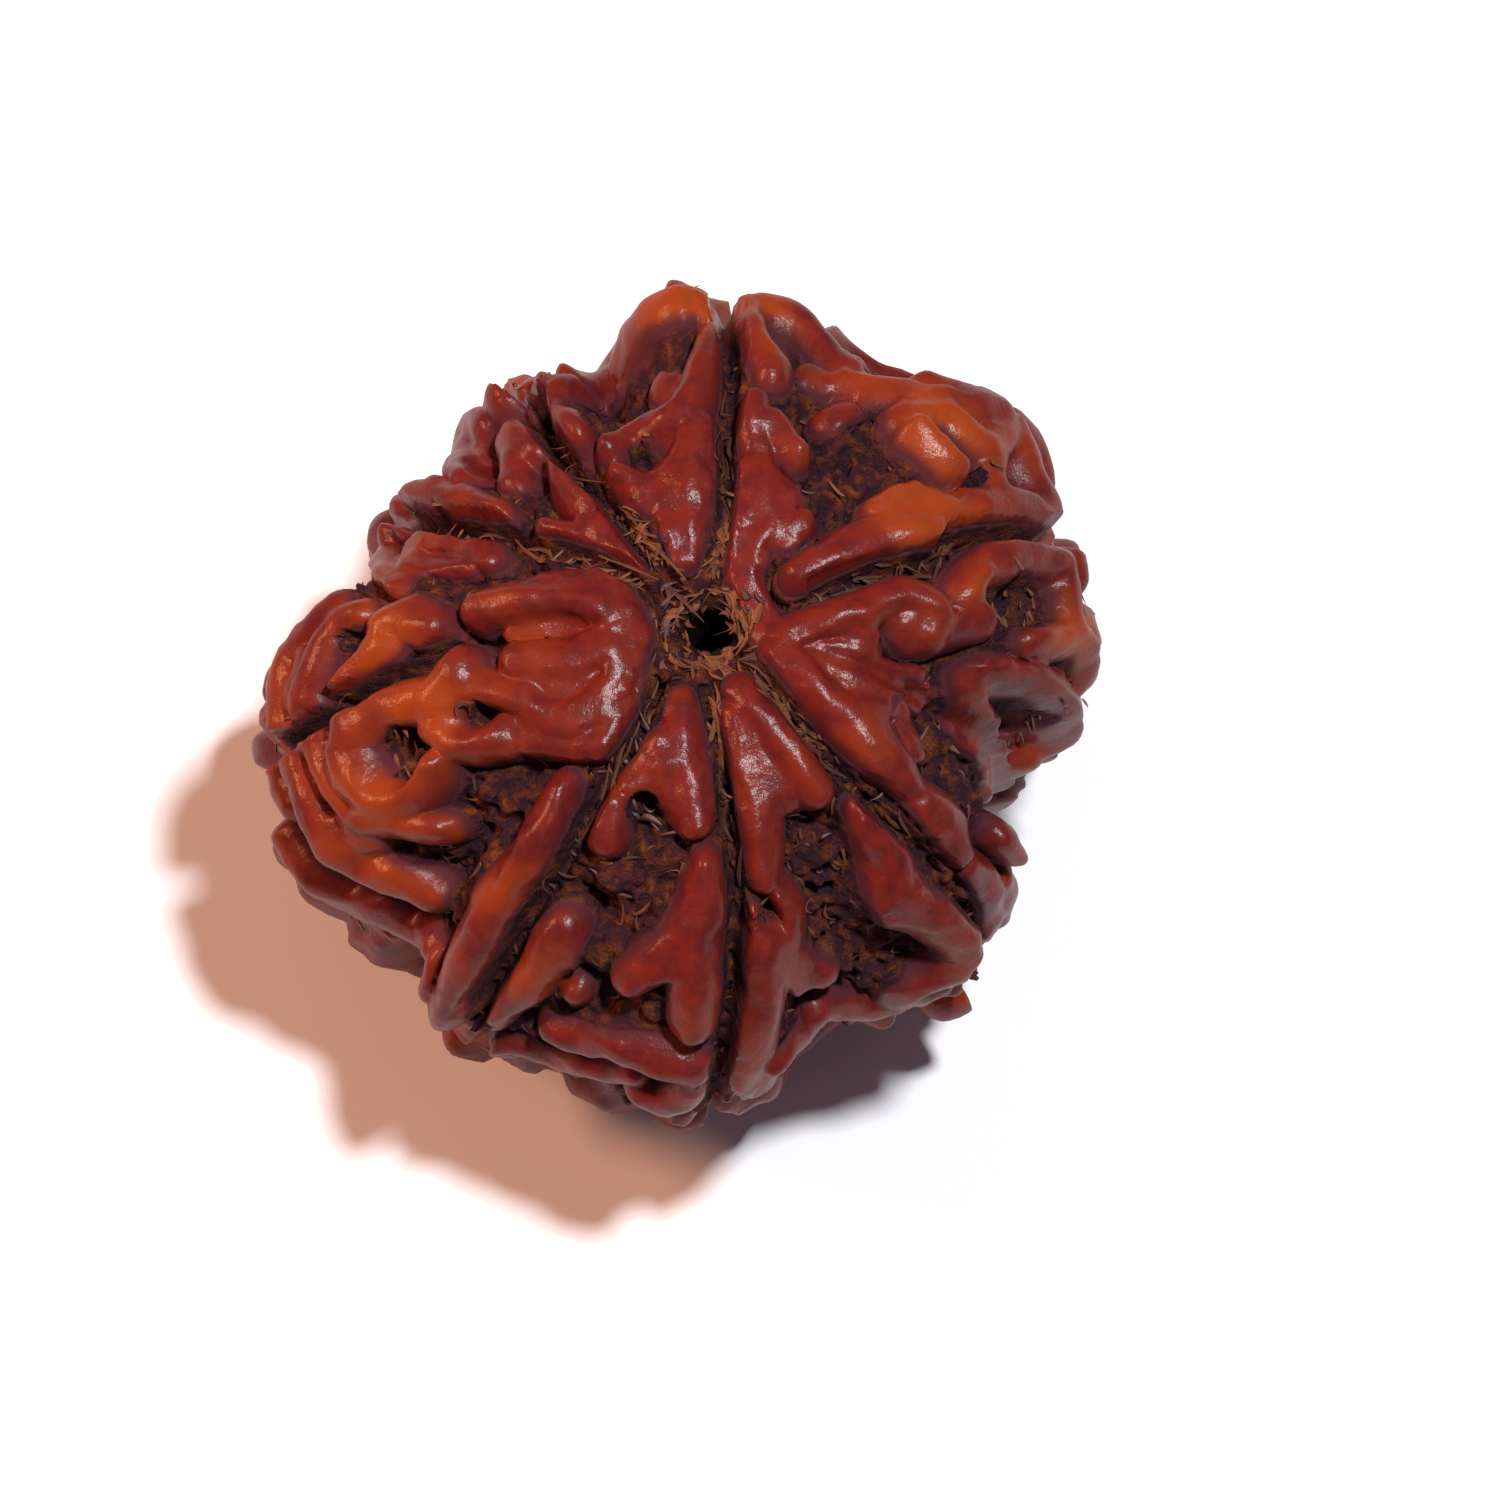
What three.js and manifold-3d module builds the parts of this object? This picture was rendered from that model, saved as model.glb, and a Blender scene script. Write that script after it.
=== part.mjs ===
// A ganesh rudraksha: the dried woody stone of a rudraksha fruit, grown in one piece.
// Millimetres, +Z up along the stalk channel, +X to the right and -Y towards the viewer of the photo.
// The origin lies on the ground under the middle of the stone's box.
import * as THREE from "three";
import { mergeVertices } from "three/addons/utils/BufferGeometryUtils.js";
import Module from "manifold-3d";

// Body
const CHANNEL_X = 1.02;
const CHANNEL_Y = -0.41;
const WAIST_HEIGHT = 9.4;
const CROWN_RISE = 9.6;
const FOOT_DROP = 9.7;
const FULLNESS = 2.3;
const DENT_DEPTH = 0.9;
const DENT_RADIUS = 2.6;
const MOUTH_HEIGHT = 18.1;
// Crest radius round the channel, by compass angle in degrees from +X towards +Y.
const LOBES = [
  [7, 12.3], [30, 12.7], [46, 13.8], [65, 12.5], [82, 13.8], [88, 13.3], [95, 14.0], [110, 11.0],
  [120, 12.8], [127, 12.0], [137, 11.1], [147, 12.3], [158, 11.5], [172, 13.8], [183, 14.2], [199, 14.1],
  [205, 13.9], [212, 13.0], [220, 12.1], [230, 13.4], [246, 12.5], [266, 13.2], [279, 12.2], [288, 11.0],
  [295, 10.9], [304, 11.4], [316, 12.2], [322, 11.1], [330, 11.0], [339, 9.8], [346, 8.9], [352, 10.1],
  [358, 11.4],
];

// Relief
const FLOOR_DEPTH = 1.2;
const FLOOR_ROUGHNESS = 0.22;
const MOUTH_DEPTH_SHARE = 0.55;
const DEEPENING_RADII = [1.6, 6.5];
const RIDGE_FOOT = 0.46;
const RIDGE_ROUNDNESS = 2.3;
const RIDGE_BLEND = 0.3;
const EDGE_WIDENING = 0.9;
const EDGE_FACING = [0.02, 0.45];
const SUTURE_DEPTH = 1.6;
const SUTURE_HALF_WIDTH = 0.55;
const SUTURE_RIM = 0.3;
const SUTURE_END_LIFT = THREE.MathUtils.degToRad(-66);
const SUTURE_STEPS = 11;
const SUTURE_SWAY = 0.03;
const PIT_DEPTH = 2.0;
const PIT_RIM = 0.2;
const HIDDEN_RIDGE_SPACING = 3.4;
const HIDDEN_RIDGE_LEVELS = [-0.45, 0.85];
const HIDDEN_FACING = [-0.35, -0.12];
const FLANK_DISTANCE = 1.35;
const FLANK_SPREAD = 0.6;

// Channel and foot
const CHANNEL_RADIUS = 0.5;
const CHANNEL_STRETCH = 1.2;
const CHANNEL_MOUTH_RADIUS = 0.7;
const CHANNEL_FOOT_RADIUS = 1.1;
const CHANNEL_SIDES = 16;
const FOOT_WORN_RADIUS = 3.4;
const FOOT_BLEND_RADIUS = 4.8;

// Mesh
const FACE_STEPS = 22;
const CROWDING = 0.32;
const WALL_SLOPE = 0.9;
const WALL_SHIFT = 0.17;
const SLOPE_STEP = 0.08;
const MERGE_DISTANCE = 1e-5;

// Places on the visible side are given as the photo shows them, from 72 degrees above the ground:
// millimetres to the right of the channel's mouth, millimetres above it, then a half width.
const VIEW_LIFT = THREE.MathUtils.degToRad(72);
const SEEN_RIGHT = new THREE.Vector3(1, 0, 0);
const SEEN_UP = new THREE.Vector3(0, Math.sin(VIEW_LIFT), Math.cos(VIEW_LIFT));
const TO_VIEWER = new THREE.Vector3(0, -Math.cos(VIEW_LIFT), Math.sin(VIEW_LIFT));

// Grooves between the compartments, from the channel's mouth outwards
const SUTURES = [
  ["suture_north", [[0.2, 1.6], [0.4, 3.3], [0.5, 4.0], [0.55, 5.0], [0.5, 6.0], [0.65, 7.0], [0.7, 7.8],
    [0.75, 8.5], [0.55, 9.3]]],
  ["suture_northwest", [[-1.0, 1.3], [-1.6, 1.9], [-2.1, 2.5], [-2.7, 3.4], [-3.3, 4.3], [-4.1, 5.0],
    [-4.8, 5.7], [-5.25, 6.3], [-5.4, 7.0], [-5.45, 7.4]]],
  ["suture_west_upper", [[-1.9, 1.3], [-2.8, 1.9], [-3.6, 2.3], [-4.6, 2.6], [-5.6, 2.7], [-6.5, 3.1]]],
  ["suture_west", [[-8.2, -0.6], [-9.2, -1.1], [-10.0, -1.5], [-10.9, -2.0], [-11.6, -2.4]]],
  ["suture_southwest", [[-1.6, -1.7], [-2.1, -2.8], [-2.6, -3.8], [-3.3, -4.7], [-3.9, -5.8], [-4.3, -6.8],
    [-4.9, -7.9], [-5.9, -9.3], [-6.4, -10.4], [-7.0, -11.3], [-7.3, -11.9]]],
  ["suture_south", [[-0.2, -1.9], [0.1, -3.0], [0.3, -4.0], [0.45, -5.0], [0.55, -6.2], [0.75, -7.4],
    [0.85, -8.5], [0.85, -9.5], [0.7, -10.4], [0.75, -11.3], [0.6, -12.3], [0.4, -13.3], [0.2, -14.2]]],
  ["suture_southeast", [[1.7, -1.6], [2.5, -2.4], [3.2, -3.3], [4.1, -4.3], [4.9, -5.2], [5.8, -6.0],
    [6.5, -6.7], [7.3, -7.5], [7.8, -8.3], [8.4, -9.0]]],
  ["suture_east", [[3.4, 1.2], [4.5, 1.6], [5.6, 2.0], [6.5, 2.1], [7.3, 2.3], [7.7, 2.9], [8.6, 3.0],
    [9.6, 3.05], [10.5, 2.9]]],
];

// Round holes between ridges: right, up, radius
const PITS = [
  ["east_ring_pit", [10.0, 0.9, 1.05]],
  ["east_arch_pit", [9.9, -3.1, 1.0]],
  ["trunk_pit", [-9.6, -3.9, 1.0]],
  ["saddle_pit", [-7.2, -2.7, 0.5]],
  ["south_right_pit", [1.8, -9.0, 0.4]],
  ["south_notch", [-2.1, -5.6, 0.6]],
  ["north_notch", [-2.2, 5.45, 0.45]],
  ["northeast_pit", [9.4, 4.9, 0.35]],
  ["northeast_cove", [8.2, 4.7, 0.45]],
  ["west_arch_pit", [-8.5, 3.4, 0.45]],
  ["west_edge_pit", [-11.3, -0.4, 0.45]],
  ["jaw_pit", [-11.75, -5.5, 0.35]],
];

// Ridges of the visible side: name, height of the crest over the envelope, path with half widths
const RIDGES = [
  // The lobe behind the hole.
  ["north_crown", 0.1, [[-2.75, 8.8, 0.3], [-2.2, 9.45, 0.4], [-1.6, 9.9, 0.5], [-0.9, 10.05, 0.5],
    [-0.3, 10, 0.4], [0.1, 9.6, 0.2]]],
  ["north_crown_tail", -0.1, [[-4.3, 7.95, 0.3], [-3.6, 8.25, 0.38], [-3, 8.6, 0.38], [-2.6, 8.9, 0.33]]],
  ["north_stem", 0, [[0.05, 9.1, 0.12], [-0.05, 8.6, 0.12], [-0.25, 8, 0.25], [-0.5, 7.3, 0.42],
    [-0.9, 6.8, 0.42], [-1.5, 6.4, 0.32], [-2.3, 6.05, 0.2], [-3.15, 5.75, 0.2]]],
  ["north_blade", -0.2, [[-0.75, 2.2, 0.1], [-0.8, 3, 0.4], [-0.95, 3.9, 0.75], [-0.9, 4.8, 0.95],
    [-0.6, 5.6, 0.8], [-0.5, 6.4, 0.6]]],
  ["north_blade_wing", -0.25, [[-1.4, 4.4, 0.75], [-2.1, 4.55, 0.55], [-2.9, 5, 0.2]]],
  ["north_lump", -0.7, [[-1.5, 8, 0.3], [-1.2, 7.8, 0.25]]],
  // The lobes to the left of it.
  ["northwest_hook", -0.05, [[-5.15, 7.2, 0.25], [-5.05, 6.75, 0.35], [-4.7, 6.35, 0.38],
    [-4.15, 6.1, 0.25]]],
  ["northwest_knob", 0.4, [[-6.3, 7.1, 0.5]]],
  ["northwest_sill", -0.15, [[-5.5, 7.4, 0.25], [-4.8, 7.55, 0.2], [-4.2, 7.65, 0.2]]],
  ["northwest_block", -0.1, [[-6.3, 6, 0.45], [-6.2, 5.3, 0.45], [-6.1, 4.7, 0.35]]],
  ["northwest_block_arm", -0.15, [[-6, 5.95, 0.35], [-5.7, 5.6, 0.3]]],
  ["northwest_rim", 0, [[-7.1, 6.3, 0.28], [-7.55, 6.25, 0.32], [-7.8, 5.8, 0.3], [-7.75, 5.2, 0.28],
    [-7.6, 4.7, 0.25]]],
  ["northwest_rim_inner", -0.3, [[-7.4, 5.9, 0.25], [-7.45, 5.2, 0.22], [-7.3, 4.7, 0.2]]],
  ["northwest_blade", -0.2, [[-4.9, 5.2, 0.15], [-4.5, 4.6, 0.35], [-4, 4, 0.55], [-3.4, 3.35, 0.6],
    [-2.8, 2.75, 0.4], [-2.3, 2.25, 0.15]]],
  ["northwest_blade_foot", -0.3, [[-3.7, 3.1, 0.4], [-4.5, 3.15, 0.3], [-5.2, 3.3, 0.15]]],
  ["west_arch_outer", 0, [[-9.7, 3.5, 0.45], [-9.3, 4, 0.5], [-8.6, 4.1, 0.5], [-7.9, 3.9, 0.42],
    [-7.2, 3.7, 0.38], [-6.7, 3.6, 0.3]]],
  ["west_arch_inner", -0.1, [[-9.3, 1.9, 0.3], [-9.25, 2.5, 0.35], [-8.7, 2.8, 0.38], [-8, 2.8, 0.38],
    [-7.4, 2.6, 0.35], [-6.9, 2.2, 0.2]]],
  ["west_arch_floor", -0.35, [[-8.9, 2.1, 0.35], [-8.2, 2.1, 0.35], [-7.6, 2.1, 0.25]]],
  ["west_edge_knob", -0.1, [[-10.2, 2.3, 0.28], [-10, 1.8, 0.3], [-9.8, 1.4, 0.25]]],
  ["west_edge_bead", 0, [[-10.1, 2.9, 0.22]]],
  // The wide lobe that carries the raised spur.
  ["west_lobe_upper", 0, [[-7.3, 0.5, 0.35], [-6.4, 0.9, 0.5], [-5.3, 1.1, 0.65], [-4.2, 1.1, 0.72],
    [-3.3, 0.85, 0.72], [-2.8, 0.3, 0.55]]],
  ["west_lobe_crest", 0.12, [[-7.2, 0.6, 0.25], [-6.2, 0.85, 0.25], [-5, 0.95, 0.25], [-4, 0.85, 0.25],
    [-3.3, 0.6, 0.25]]],
  ["west_lobe_slot", -0.6, [[-6, 0, 0.3], [-5, 0.1, 0.3], [-4.2, 0.1, 0.3]]],
  ["west_lobe_lower", 0, [[-2.4, -0.2, 0.4], [-3.2, -0.6, 0.5], [-4.2, -0.95, 0.5], [-5.2, -1, 0.5],
    [-6, -1.1, 0.4]]],
  ["spur_root_ring", 0.05, [[-2.7, -0.9, 0.45], [-2.9, -1.7, 0.5], [-3.4, -2.5, 0.5], [-4.3, -2.95, 0.45],
    [-5.2, -2.75, 0.42], [-5.8, -2.2, 0.4], [-6.6, -1.95, 0.35], [-7.4, -1.8, 0.4]]],
  ["spur_root_floor", -0.3, [[-3.8, -1.5, 0.6], [-4.6, -1.8, 0.8], [-5.4, -1.5, 0.6]]],
  ["spur_root_apron", -0.15, [[-2.9, -2.5, 0.45], [-3.4, -3.4, 0.5], [-4.2, -3.6, 0.45], [-5, -3.5, 0.4],
    [-5.8, -3.25, 0.4], [-6.4, -3.2, 0.35]]],
  ["spur_crown", 0.2, [[-7.7, -1.2, 0.45], [-7.9, -1.75, 0.7], [-8.4, -2.2, 0.6]]],
  ["spur_shoulder", 0.1, [[-8.4, -2.1, 0.55], [-9.3, -2.25, 0.5], [-10.3, -2.5, 0.55],
    [-11, -3.1, 0.65]]],
  ["spur_bend", 0.2, [[-11, -3.1, 0.6], [-11.25, -3.8, 0.7], [-11, -4.6, 0.7], [-10.4, -5.2, 0.55],
    [-9.6, -5.5, 0.45], [-8.95, -5.2, 0.35], [-8.6, -4.7, 0.3], [-8.45, -4.2, 0.2]]],
  ["spur_flank", -0.1, [[-12.2, -3.4, 0.35], [-12, -4.3, 0.35], [-11.4, -5.2, 0.4], [-10.9, -5.8, 0.4]]],
  ["spur_web", -0.1, [[-12.1, -3.9, 0.3], [-11.7, -4.9, 0.25], [-11.1, -5.9, 0.3], [-10.7, -6.7, 0.35]]],
  ["spur_tip", 0.05, [[-10.6, -5.9, 0.45], [-9.7, -6, 0.4], [-8.9, -6.2, 0.35], [-8.15, -6.3, 0.22]]],
  ["spur_saddle", 0, [[-8.3, -2.3, 0.5], [-8.4, -3.1, 0.45], [-8, -3.6, 0.4], [-7.3, -3.7, 0.35],
    [-6.5, -3.5, 0.4]]],
  ["tab", 0.05, [[-10, 0.2, 0.5], [-9.3, 0.3, 0.6], [-8.75, 0.1, 0.5]]],
  ["tab_tail", 0, [[-10.1, -0.4, 0.45], [-10.7, -1, 0.4], [-11.4, -1.8, 0.28]]],
  ["far_west_inner", 0, [[-10.9, 0.5, 0.2], [-11.5, 0.2, 0.3], [-12, -0.5, 0.33], [-12.3, -1.3, 0.35],
    [-12.6, -2.1, 0.38], [-12.5, -2.6, 0.35]]],
  ["far_west_outer", 0, [[-11.6, 0.7, 0.25], [-12.2, 0.1, 0.25], [-13, -0.7, 0.3], [-13.3, -1.7, 0.3],
    [-13.3, -2.7, 0.3], [-13.3, -3.3, 0.3]]],
  ["far_west_web", -0.25, [[-12.6, -0.8, 0.3], [-12.9, -1.6, 0.35], [-13, -2.2, 0.3]]],
  ["shelf_root", 0, [[-13.3, -3.4, 0.3], [-12.6, -3.4, 0.32], [-12.2, -3.3, 0.3]]],
  ["shelf", 0.05, [[-13, -3.7, 0.3], [-12.75, -4.5, 0.38], [-12.4, -5.4, 0.42], [-12, -6.3, 0.5],
    [-11.4, -7, 0.6], [-10.6, -7.5, 0.6], [-9.7, -7.9, 0.5], [-8.7, -8.3, 0.42]]],
  ["shelf_knob", -0.1, [[-11.7, -6.1, 0.35], [-11.5, -6.6, 0.35]]],
  ["shelf_side", -0.1, [[-13.5, -4.2, 0.35], [-13.4, -4.9, 0.35], [-13.1, -5.5, 0.3]]],
  ["apron_knob", -0.1, [[-13.2, -6.5, 0.3], [-12.9, -7.1, 0.3]]],
  ["apron", -0.1, [[-12.8, -7.2, 0.4], [-12.2, -8, 0.45], [-11.3, -8.5, 0.42], [-10.2, -8.85, 0.42],
    [-9.4, -9.35, 0.38], [-8.8, -9.8, 0.3]]],
  // The lobes in front of the hole.
  ["southwest_bar", 0.05, [[-4.6, -4.95, 0.22], [-4.95, -5.8, 0.32], [-5.5, -6.8, 0.42],
    [-6.15, -7.8, 0.48], [-6.8, -8.8, 0.55], [-7.25, -9.8, 0.65], [-7.65, -10.8, 0.62], [-8, -11.6, 0.45],
    [-8.2, -12.1, 0.35]]],
  ["southwest_fold", -0.2, [[-8.7, -10.3, 0.2], [-8.8, -11.2, 0.25]]],
  ["southwest_pad", -0.05, [[-4.5, -9.4, 0.4], [-4.9, -9.9, 0.6], [-5.2, -10.5, 0.65],
    [-5.6, -11.1, 0.45]]],
  ["southwest_toe", -0.1, [[-5.9, -11.4, 0.35], [-6.5, -11.9, 0.4], [-6.95, -12.2, 0.3]]],
  ["southwest_sole", -0.15, [[-6.9, -12.95, 0.3], [-6, -13.1, 0.3], [-5.3, -13.2, 0.25]]],
  ["southwest_welt", -0.3, [[-6.9, -13.2, 0.2], [-6.1, -13.3, 0.2]]],
  ["southwest_bead", -0.3, [[-4.3, -11.5, 0.28]]],
  ["south_skirt", 0, [[-4.9, -12.5, 0.3], [-4.1, -12.8, 0.45], [-3.1, -13, 0.45], [-2.2, -13.3, 0.5],
    [-1.2, -13.6, 0.5], [-0.4, -13.7, 0.4]]],
  ["south_hem", -0.15, [[-5.2, -13.3, 0.3], [-4.2, -13.6, 0.35], [-3.2, -13.8, 0.35],
    [-2.4, -13.9, 0.35]]],
  ["south_drop", 0, [[-2.1, -14.5, 0.5], [-1.5, -14.75, 0.65], [-0.95, -14.6, 0.55], [-0.6, -14.3, 0.4]]],
  ["south_fork", 0.1, [[-0.1, -7.25, 0.12], [-0.1, -8, 0.45], [-0.15, -8.8, 0.65], [-0.5, -9.7, 0.72],
    [-0.5, -10.6, 0.68], [-0.35, -11.5, 0.68], [-0.4, -12.3, 0.6]]],
  ["south_fork_arm", 0, [[-0.9, -10.1, 0.6], [-1.7, -10.5, 0.5], [-2.5, -11, 0.3]]],
  ["south_left_blade", -0.2, [[-0.85, -2.2, 0.1], [-0.85, -3, 0.35], [-1.05, -3.9, 0.7],
    [-0.95, -4.8, 0.85], [-0.6, -5.6, 0.6], [-0.45, -6.1, 0.35]]],
  ["south_left_wing", -0.25, [[-1.5, -4.2, 0.7], [-2, -4.6, 0.5], [-2.5, -5, 0.2]]],
  ["south_left_seed", 0, [[-2.95, -5.4, 0.12], [-3.15, -6, 0.3], [-3.2, -6.6, 0.4]]],
  ["south_right_rim", 0.05, [[0.95, -1.9, 0.2], [1.5, -2.6, 0.32], [2.1, -3.4, 0.4], [2.75, -4.3, 0.45],
    [3.3, -5.1, 0.35]]],
  ["south_right_blade", -0.15, [[0.9, -2.6, 0.25], [1.1, -3.5, 0.4], [1.4, -4.4, 0.6], [1.6, -5.3, 0.55],
    [1.7, -6.2, 0.42], [1.8, -7.1, 0.38], [1.85, -7.9, 0.3]]],
  ["south_right_fill", -0.15, [[1.4, -3, 0.3], [1.9, -4, 0.7], [2.4, -4.9, 0.75]]],
  ["south_right_curl", -0.05, [[2.2, -8.3, 0.2], [2.55, -8.9, 0.25], [2.5, -9.5, 0.35], [2, -9.9, 0.5]]],
  ["south_right_curl_back", -0.1, [[1.2, -9, 0.15], [1.3, -9.5, 0.25], [1.6, -9.8, 0.35]]],
  ["south_right_run", 0.05, [[1.9, -9.9, 0.6], [1.9, -10.7, 0.72], [1.75, -11.6, 0.7], [1.5, -12.5, 0.6],
    [1.25, -13.4, 0.6], [1.05, -14.2, 0.55]]],
  ["south_right_spur", -0.1, [[2.4, -10.4, 0.5], [2.9, -11, 0.42], [3.5, -10.9, 0.3]]],
  ["south_right_run_rim", -0.05, [[1.5, -14.2, 0.4], [2, -13.6, 0.3], [2.6, -13, 0.3], [3.1, -12.5, 0.28],
    [3.3, -12, 0.25]]],
  ["southeast_bar", 0, [[4.65, -5.65, 0.15], [5.1, -6.4, 0.35], [5.6, -7.2, 0.58], [5.8, -8.1, 0.65],
    [6.3, -8.9, 0.72], [7.1, -9.2, 0.7], [7.8, -9.7, 0.58], [8, -10.2, 0.42], [7.3, -10.8, 0.4],
    [6.4, -11.2, 0.38]]],
  ["southeast_hem", -0.15, [[3.4, -12, 0.28], [4.2, -11.95, 0.28], [5, -12, 0.35], [5.7, -11.8, 0.35],
    [5.9, -11.4, 0.25]]],
  ["southeast_edge", -0.15, [[6.2, -11.5, 0.25], [6.7, -11.5, 0.25], [7.2, -11.3, 0.2]]],
  ["southeast_outer", -0.1, [[8.1, -7.4, 0.25], [8.6, -7.9, 0.28], [8.9, -8.6, 0.28], [8.8, -9.3, 0.25]]],
  ["southeast_outer_edge", -0.1, [[9.2, -7.9, 0.25], [9.35, -8.4, 0.25], [9.2, -9, 0.22]]],
  ["southeast_spike", 0.35, [[8.8, -6.4, 0.2], [9.3, -6.95, 0.15]]],
  // The lobe to the right of the hole.
  ["hole_lip", -0.2, [[1.5, 5, 0.4], [1.55, 4.2, 0.5], [1.6, 3.4, 0.55], [1.25, 2.6, 0.42],
    [1.05, 1.8, 0.3], [1.25, 1.2, 0.25], [1.5, 0.6, 0.25], [1.8, -0.1, 0.28], [2.3, -0.7, 0.3]]],
  ["hole_lip_spur", -0.3, [[1.9, 4.6, 0.6], [2.1, 3.8, 0.7], [2.3, 3.2, 0.5], [2.9, 3.4, 0.25]]],
  ["east_long_rim", 0.05, [[2.2, -0.6, 0.28], [2.9, -1.4, 0.35], [3.6, -2.2, 0.42], [4.4, -2.9, 0.58],
    [5.1, -3.6, 0.62], [5.75, -4.3, 0.5], [6.2, -4.85, 0.3]]],
  ["east_long_knuckle", 0.1, [[6.6, -5.3, 0.3], [7.1, -5.8, 0.5], [7.5, -6.4, 0.52], [7.75, -6.9, 0.35]]],
  ["east_plateau", -0.2, [[3.2, -0.8, 0.65], [4.1, -1, 0.85], [4.7, -1.8, 0.8], [5, -2.7, 0.65]]],
  ["east_plateau_back", -0.2, [[4.6, 0, 0.5], [4.8, -0.8, 0.42]]],
  ["east_spur", -0.25, [[5, -1.5, 0.5], [5.8, -1.55, 0.3], [6.5, -1.5, 0.12]]],
  ["east_upper_rim", 0, [[2.2, -0.3, 0.3], [3, 0, 0.3], [3.8, 0.25, 0.35], [4.6, 0.5, 0.38]]],
  ["east_curl", 0.05, [[4.7, 0.45, 0.38], [5.3, 0.8, 0.33], [6.1, 1.05, 0.38], [6.8, 0.8, 0.42],
    [7.1, 0.2, 0.42], [6.9, -0.2, 0.38]]],
  ["east_curl_core", -0.15, [[6.3, 0.2, 0.6], [6.5, -0.1, 0.5]]],
  ["east_curl_arm", -0.2, [[7.3, 0.1, 0.42], [8, 0.15, 0.35], [8.5, 0.3, 0.3]]],
  ["east_ring_knob", 0.1, [[8, 1.2, 0.42], [8.3, 1.7, 0.35]]],
  ["east_ring", 0, [[7.9, 1, 0.35], [8.5, 1.9, 0.38], [9.3, 2.3, 0.42], [10.2, 2.3, 0.38],
    [10.9, 2, 0.33], [11.15, 1.3, 0.3], [11.2, 0.5, 0.28], [11.3, -0.1, 0.3]]],
  ["east_ring_foot", 0.05, [[11.2, -0.3, 0.4], [10.7, -0.5, 0.42], [10.2, -0.5, 0.4],
    [9.95, -0.5, 0.25]]],
  ["east_ring_left", -0.15, [[8.1, 0.9, 0.3], [8.6, 0.3, 0.3]]],
  ["east_rim_edge", -0.05, [[11.35, 2.1, 0.25], [11.45, 1.5, 0.25]]],
  ["east_outer", 0, [[11.5, -0.4, 0.33], [11.8, -1, 0.33], [11.7, -1.6, 0.35]]],
  ["east_arch", 0, [[8.4, -1.5, 0.5], [9.3, -1.6, 0.55], [10.1, -1.6, 0.5], [10.8, -2, 0.48],
    [11.2, -2.6, 0.4], [11.2, -3.1, 0.35], [10.9, -3.6, 0.3], [10.2, -4, 0.25], [9.5, -4.4, 0.25]]],
  ["east_arch_leg", -0.05, [[8.3, -1.7, 0.5], [8.2, -2.5, 0.55], [8.4, -3.3, 0.55], [8.7, -4.1, 0.42],
    [9, -4.9, 0.3]]],
  ["east_sliver", -0.5, [[6.1, -2.7, 0.2], [6.3, -3.3, 0.2], [6.6, -3.9, 0.15]]],
  ["east_patch", -0.6, [[6.7, -2.1, 0.35]]],
  // The lobe behind it, on the right.
  ["northeast_limb", 0, [[2.7, 1.6, 0.2], [3.5, 1.95, 0.42], [4.4, 2.4, 0.6], [5.4, 2.9, 0.62],
    [6.3, 3.15, 0.7], [7.2, 3.5, 0.68], [8.2, 3.75, 0.6]]],
  ["northeast_limb_crest", 0.12, [[5.6, 3, 0.35], [6.2, 2.9, 0.4], [6.9, 2.95, 0.4]]],
  ["northeast_limb_back", -0.15, [[5.4, 3.7, 0.3], [6.2, 4, 0.35], [7, 3.9, 0.3]]],
  ["northeast_shoulder", 0, [[8.4, 3.75, 0.6], [9.2, 3.9, 0.6], [10, 3.75, 0.5], [10.5, 3.2, 0.4]]],
  ["northeast_pillar", 0, [[8.8, 4.5, 0.35], [8.8, 5.2, 0.5], [8.9, 5.9, 0.6], [9.2, 6.2, 0.5]]],
  ["northeast_edge", 0, [[9.5, 6.2, 0.35], [9.8, 5.6, 0.33], [10.05, 4.9, 0.35], [10.35, 4.2, 0.4],
    [10.6, 3.5, 0.4]]],
  ["northeast_knuckle", 0.15, [[6.35, 6.1, 0.25], [6.85, 5.65, 0.32], [7.35, 5.15, 0.28],
    [7.6, 4.9, 0.2]]],
  ["northeast_second", 0.05, [[7.3, 6.6, 0.3], [7.9, 6.1, 0.35], [8.5, 5.6, 0.38]]],
  ["northeast_collar", 0, [[6.1, 6.6, 0.35], [6.8, 6.65, 0.3], [7.2, 6.8, 0.3]]],
  ["northeast_top", 0, [[4.2, 7.7, 0.3], [4.9, 7.45, 0.45], [5.8, 7.35, 0.45], [6.6, 7.2, 0.4],
    [7.5, 7, 0.35], [8.5, 6.75, 0.38], [9.1, 6.5, 0.35]]],
  ["northeast_top_edge", -0.05, [[6.6, 7.65, 0.25], [7.3, 7.4, 0.25], [8.2, 7.1, 0.25], [9, 6.85, 0.25]]],
  ["northeast_tongue", -0.3, [[4.3, 7, 0.3], [3.8, 6.7, 0.25]]],
  ["north_right_outer", 0, [[1.3, 10.05, 0.35], [2.1, 10, 0.45], [2.9, 9.6, 0.42], [3.4, 9, 0.38],
    [3.9, 8.4, 0.35], [4.3, 8, 0.3]]],
  ["north_right_inner", 0.1, [[1.05, 9.85, 0.3], [1.3, 9.2, 0.32], [1.6, 8.5, 0.38], [2, 8.1, 0.38],
    [1.95, 7.8, 0.3]]],
  ["north_right_patch", -0.3, [[3.2, 8, 0.35], [3.8, 7.8, 0.3]]],
  ["north_right_arc", 0, [[1.4, 7, 0.25], [1.4, 6.4, 0.38], [2, 6.35, 0.38], [2.4, 5.85, 0.32],
    [2.7, 5.45, 0.2]]],
  ["north_right_arc_foot", -0.25, [[1.4, 6.2, 0.35], [1.6, 5.7, 0.35]]],
];

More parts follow.
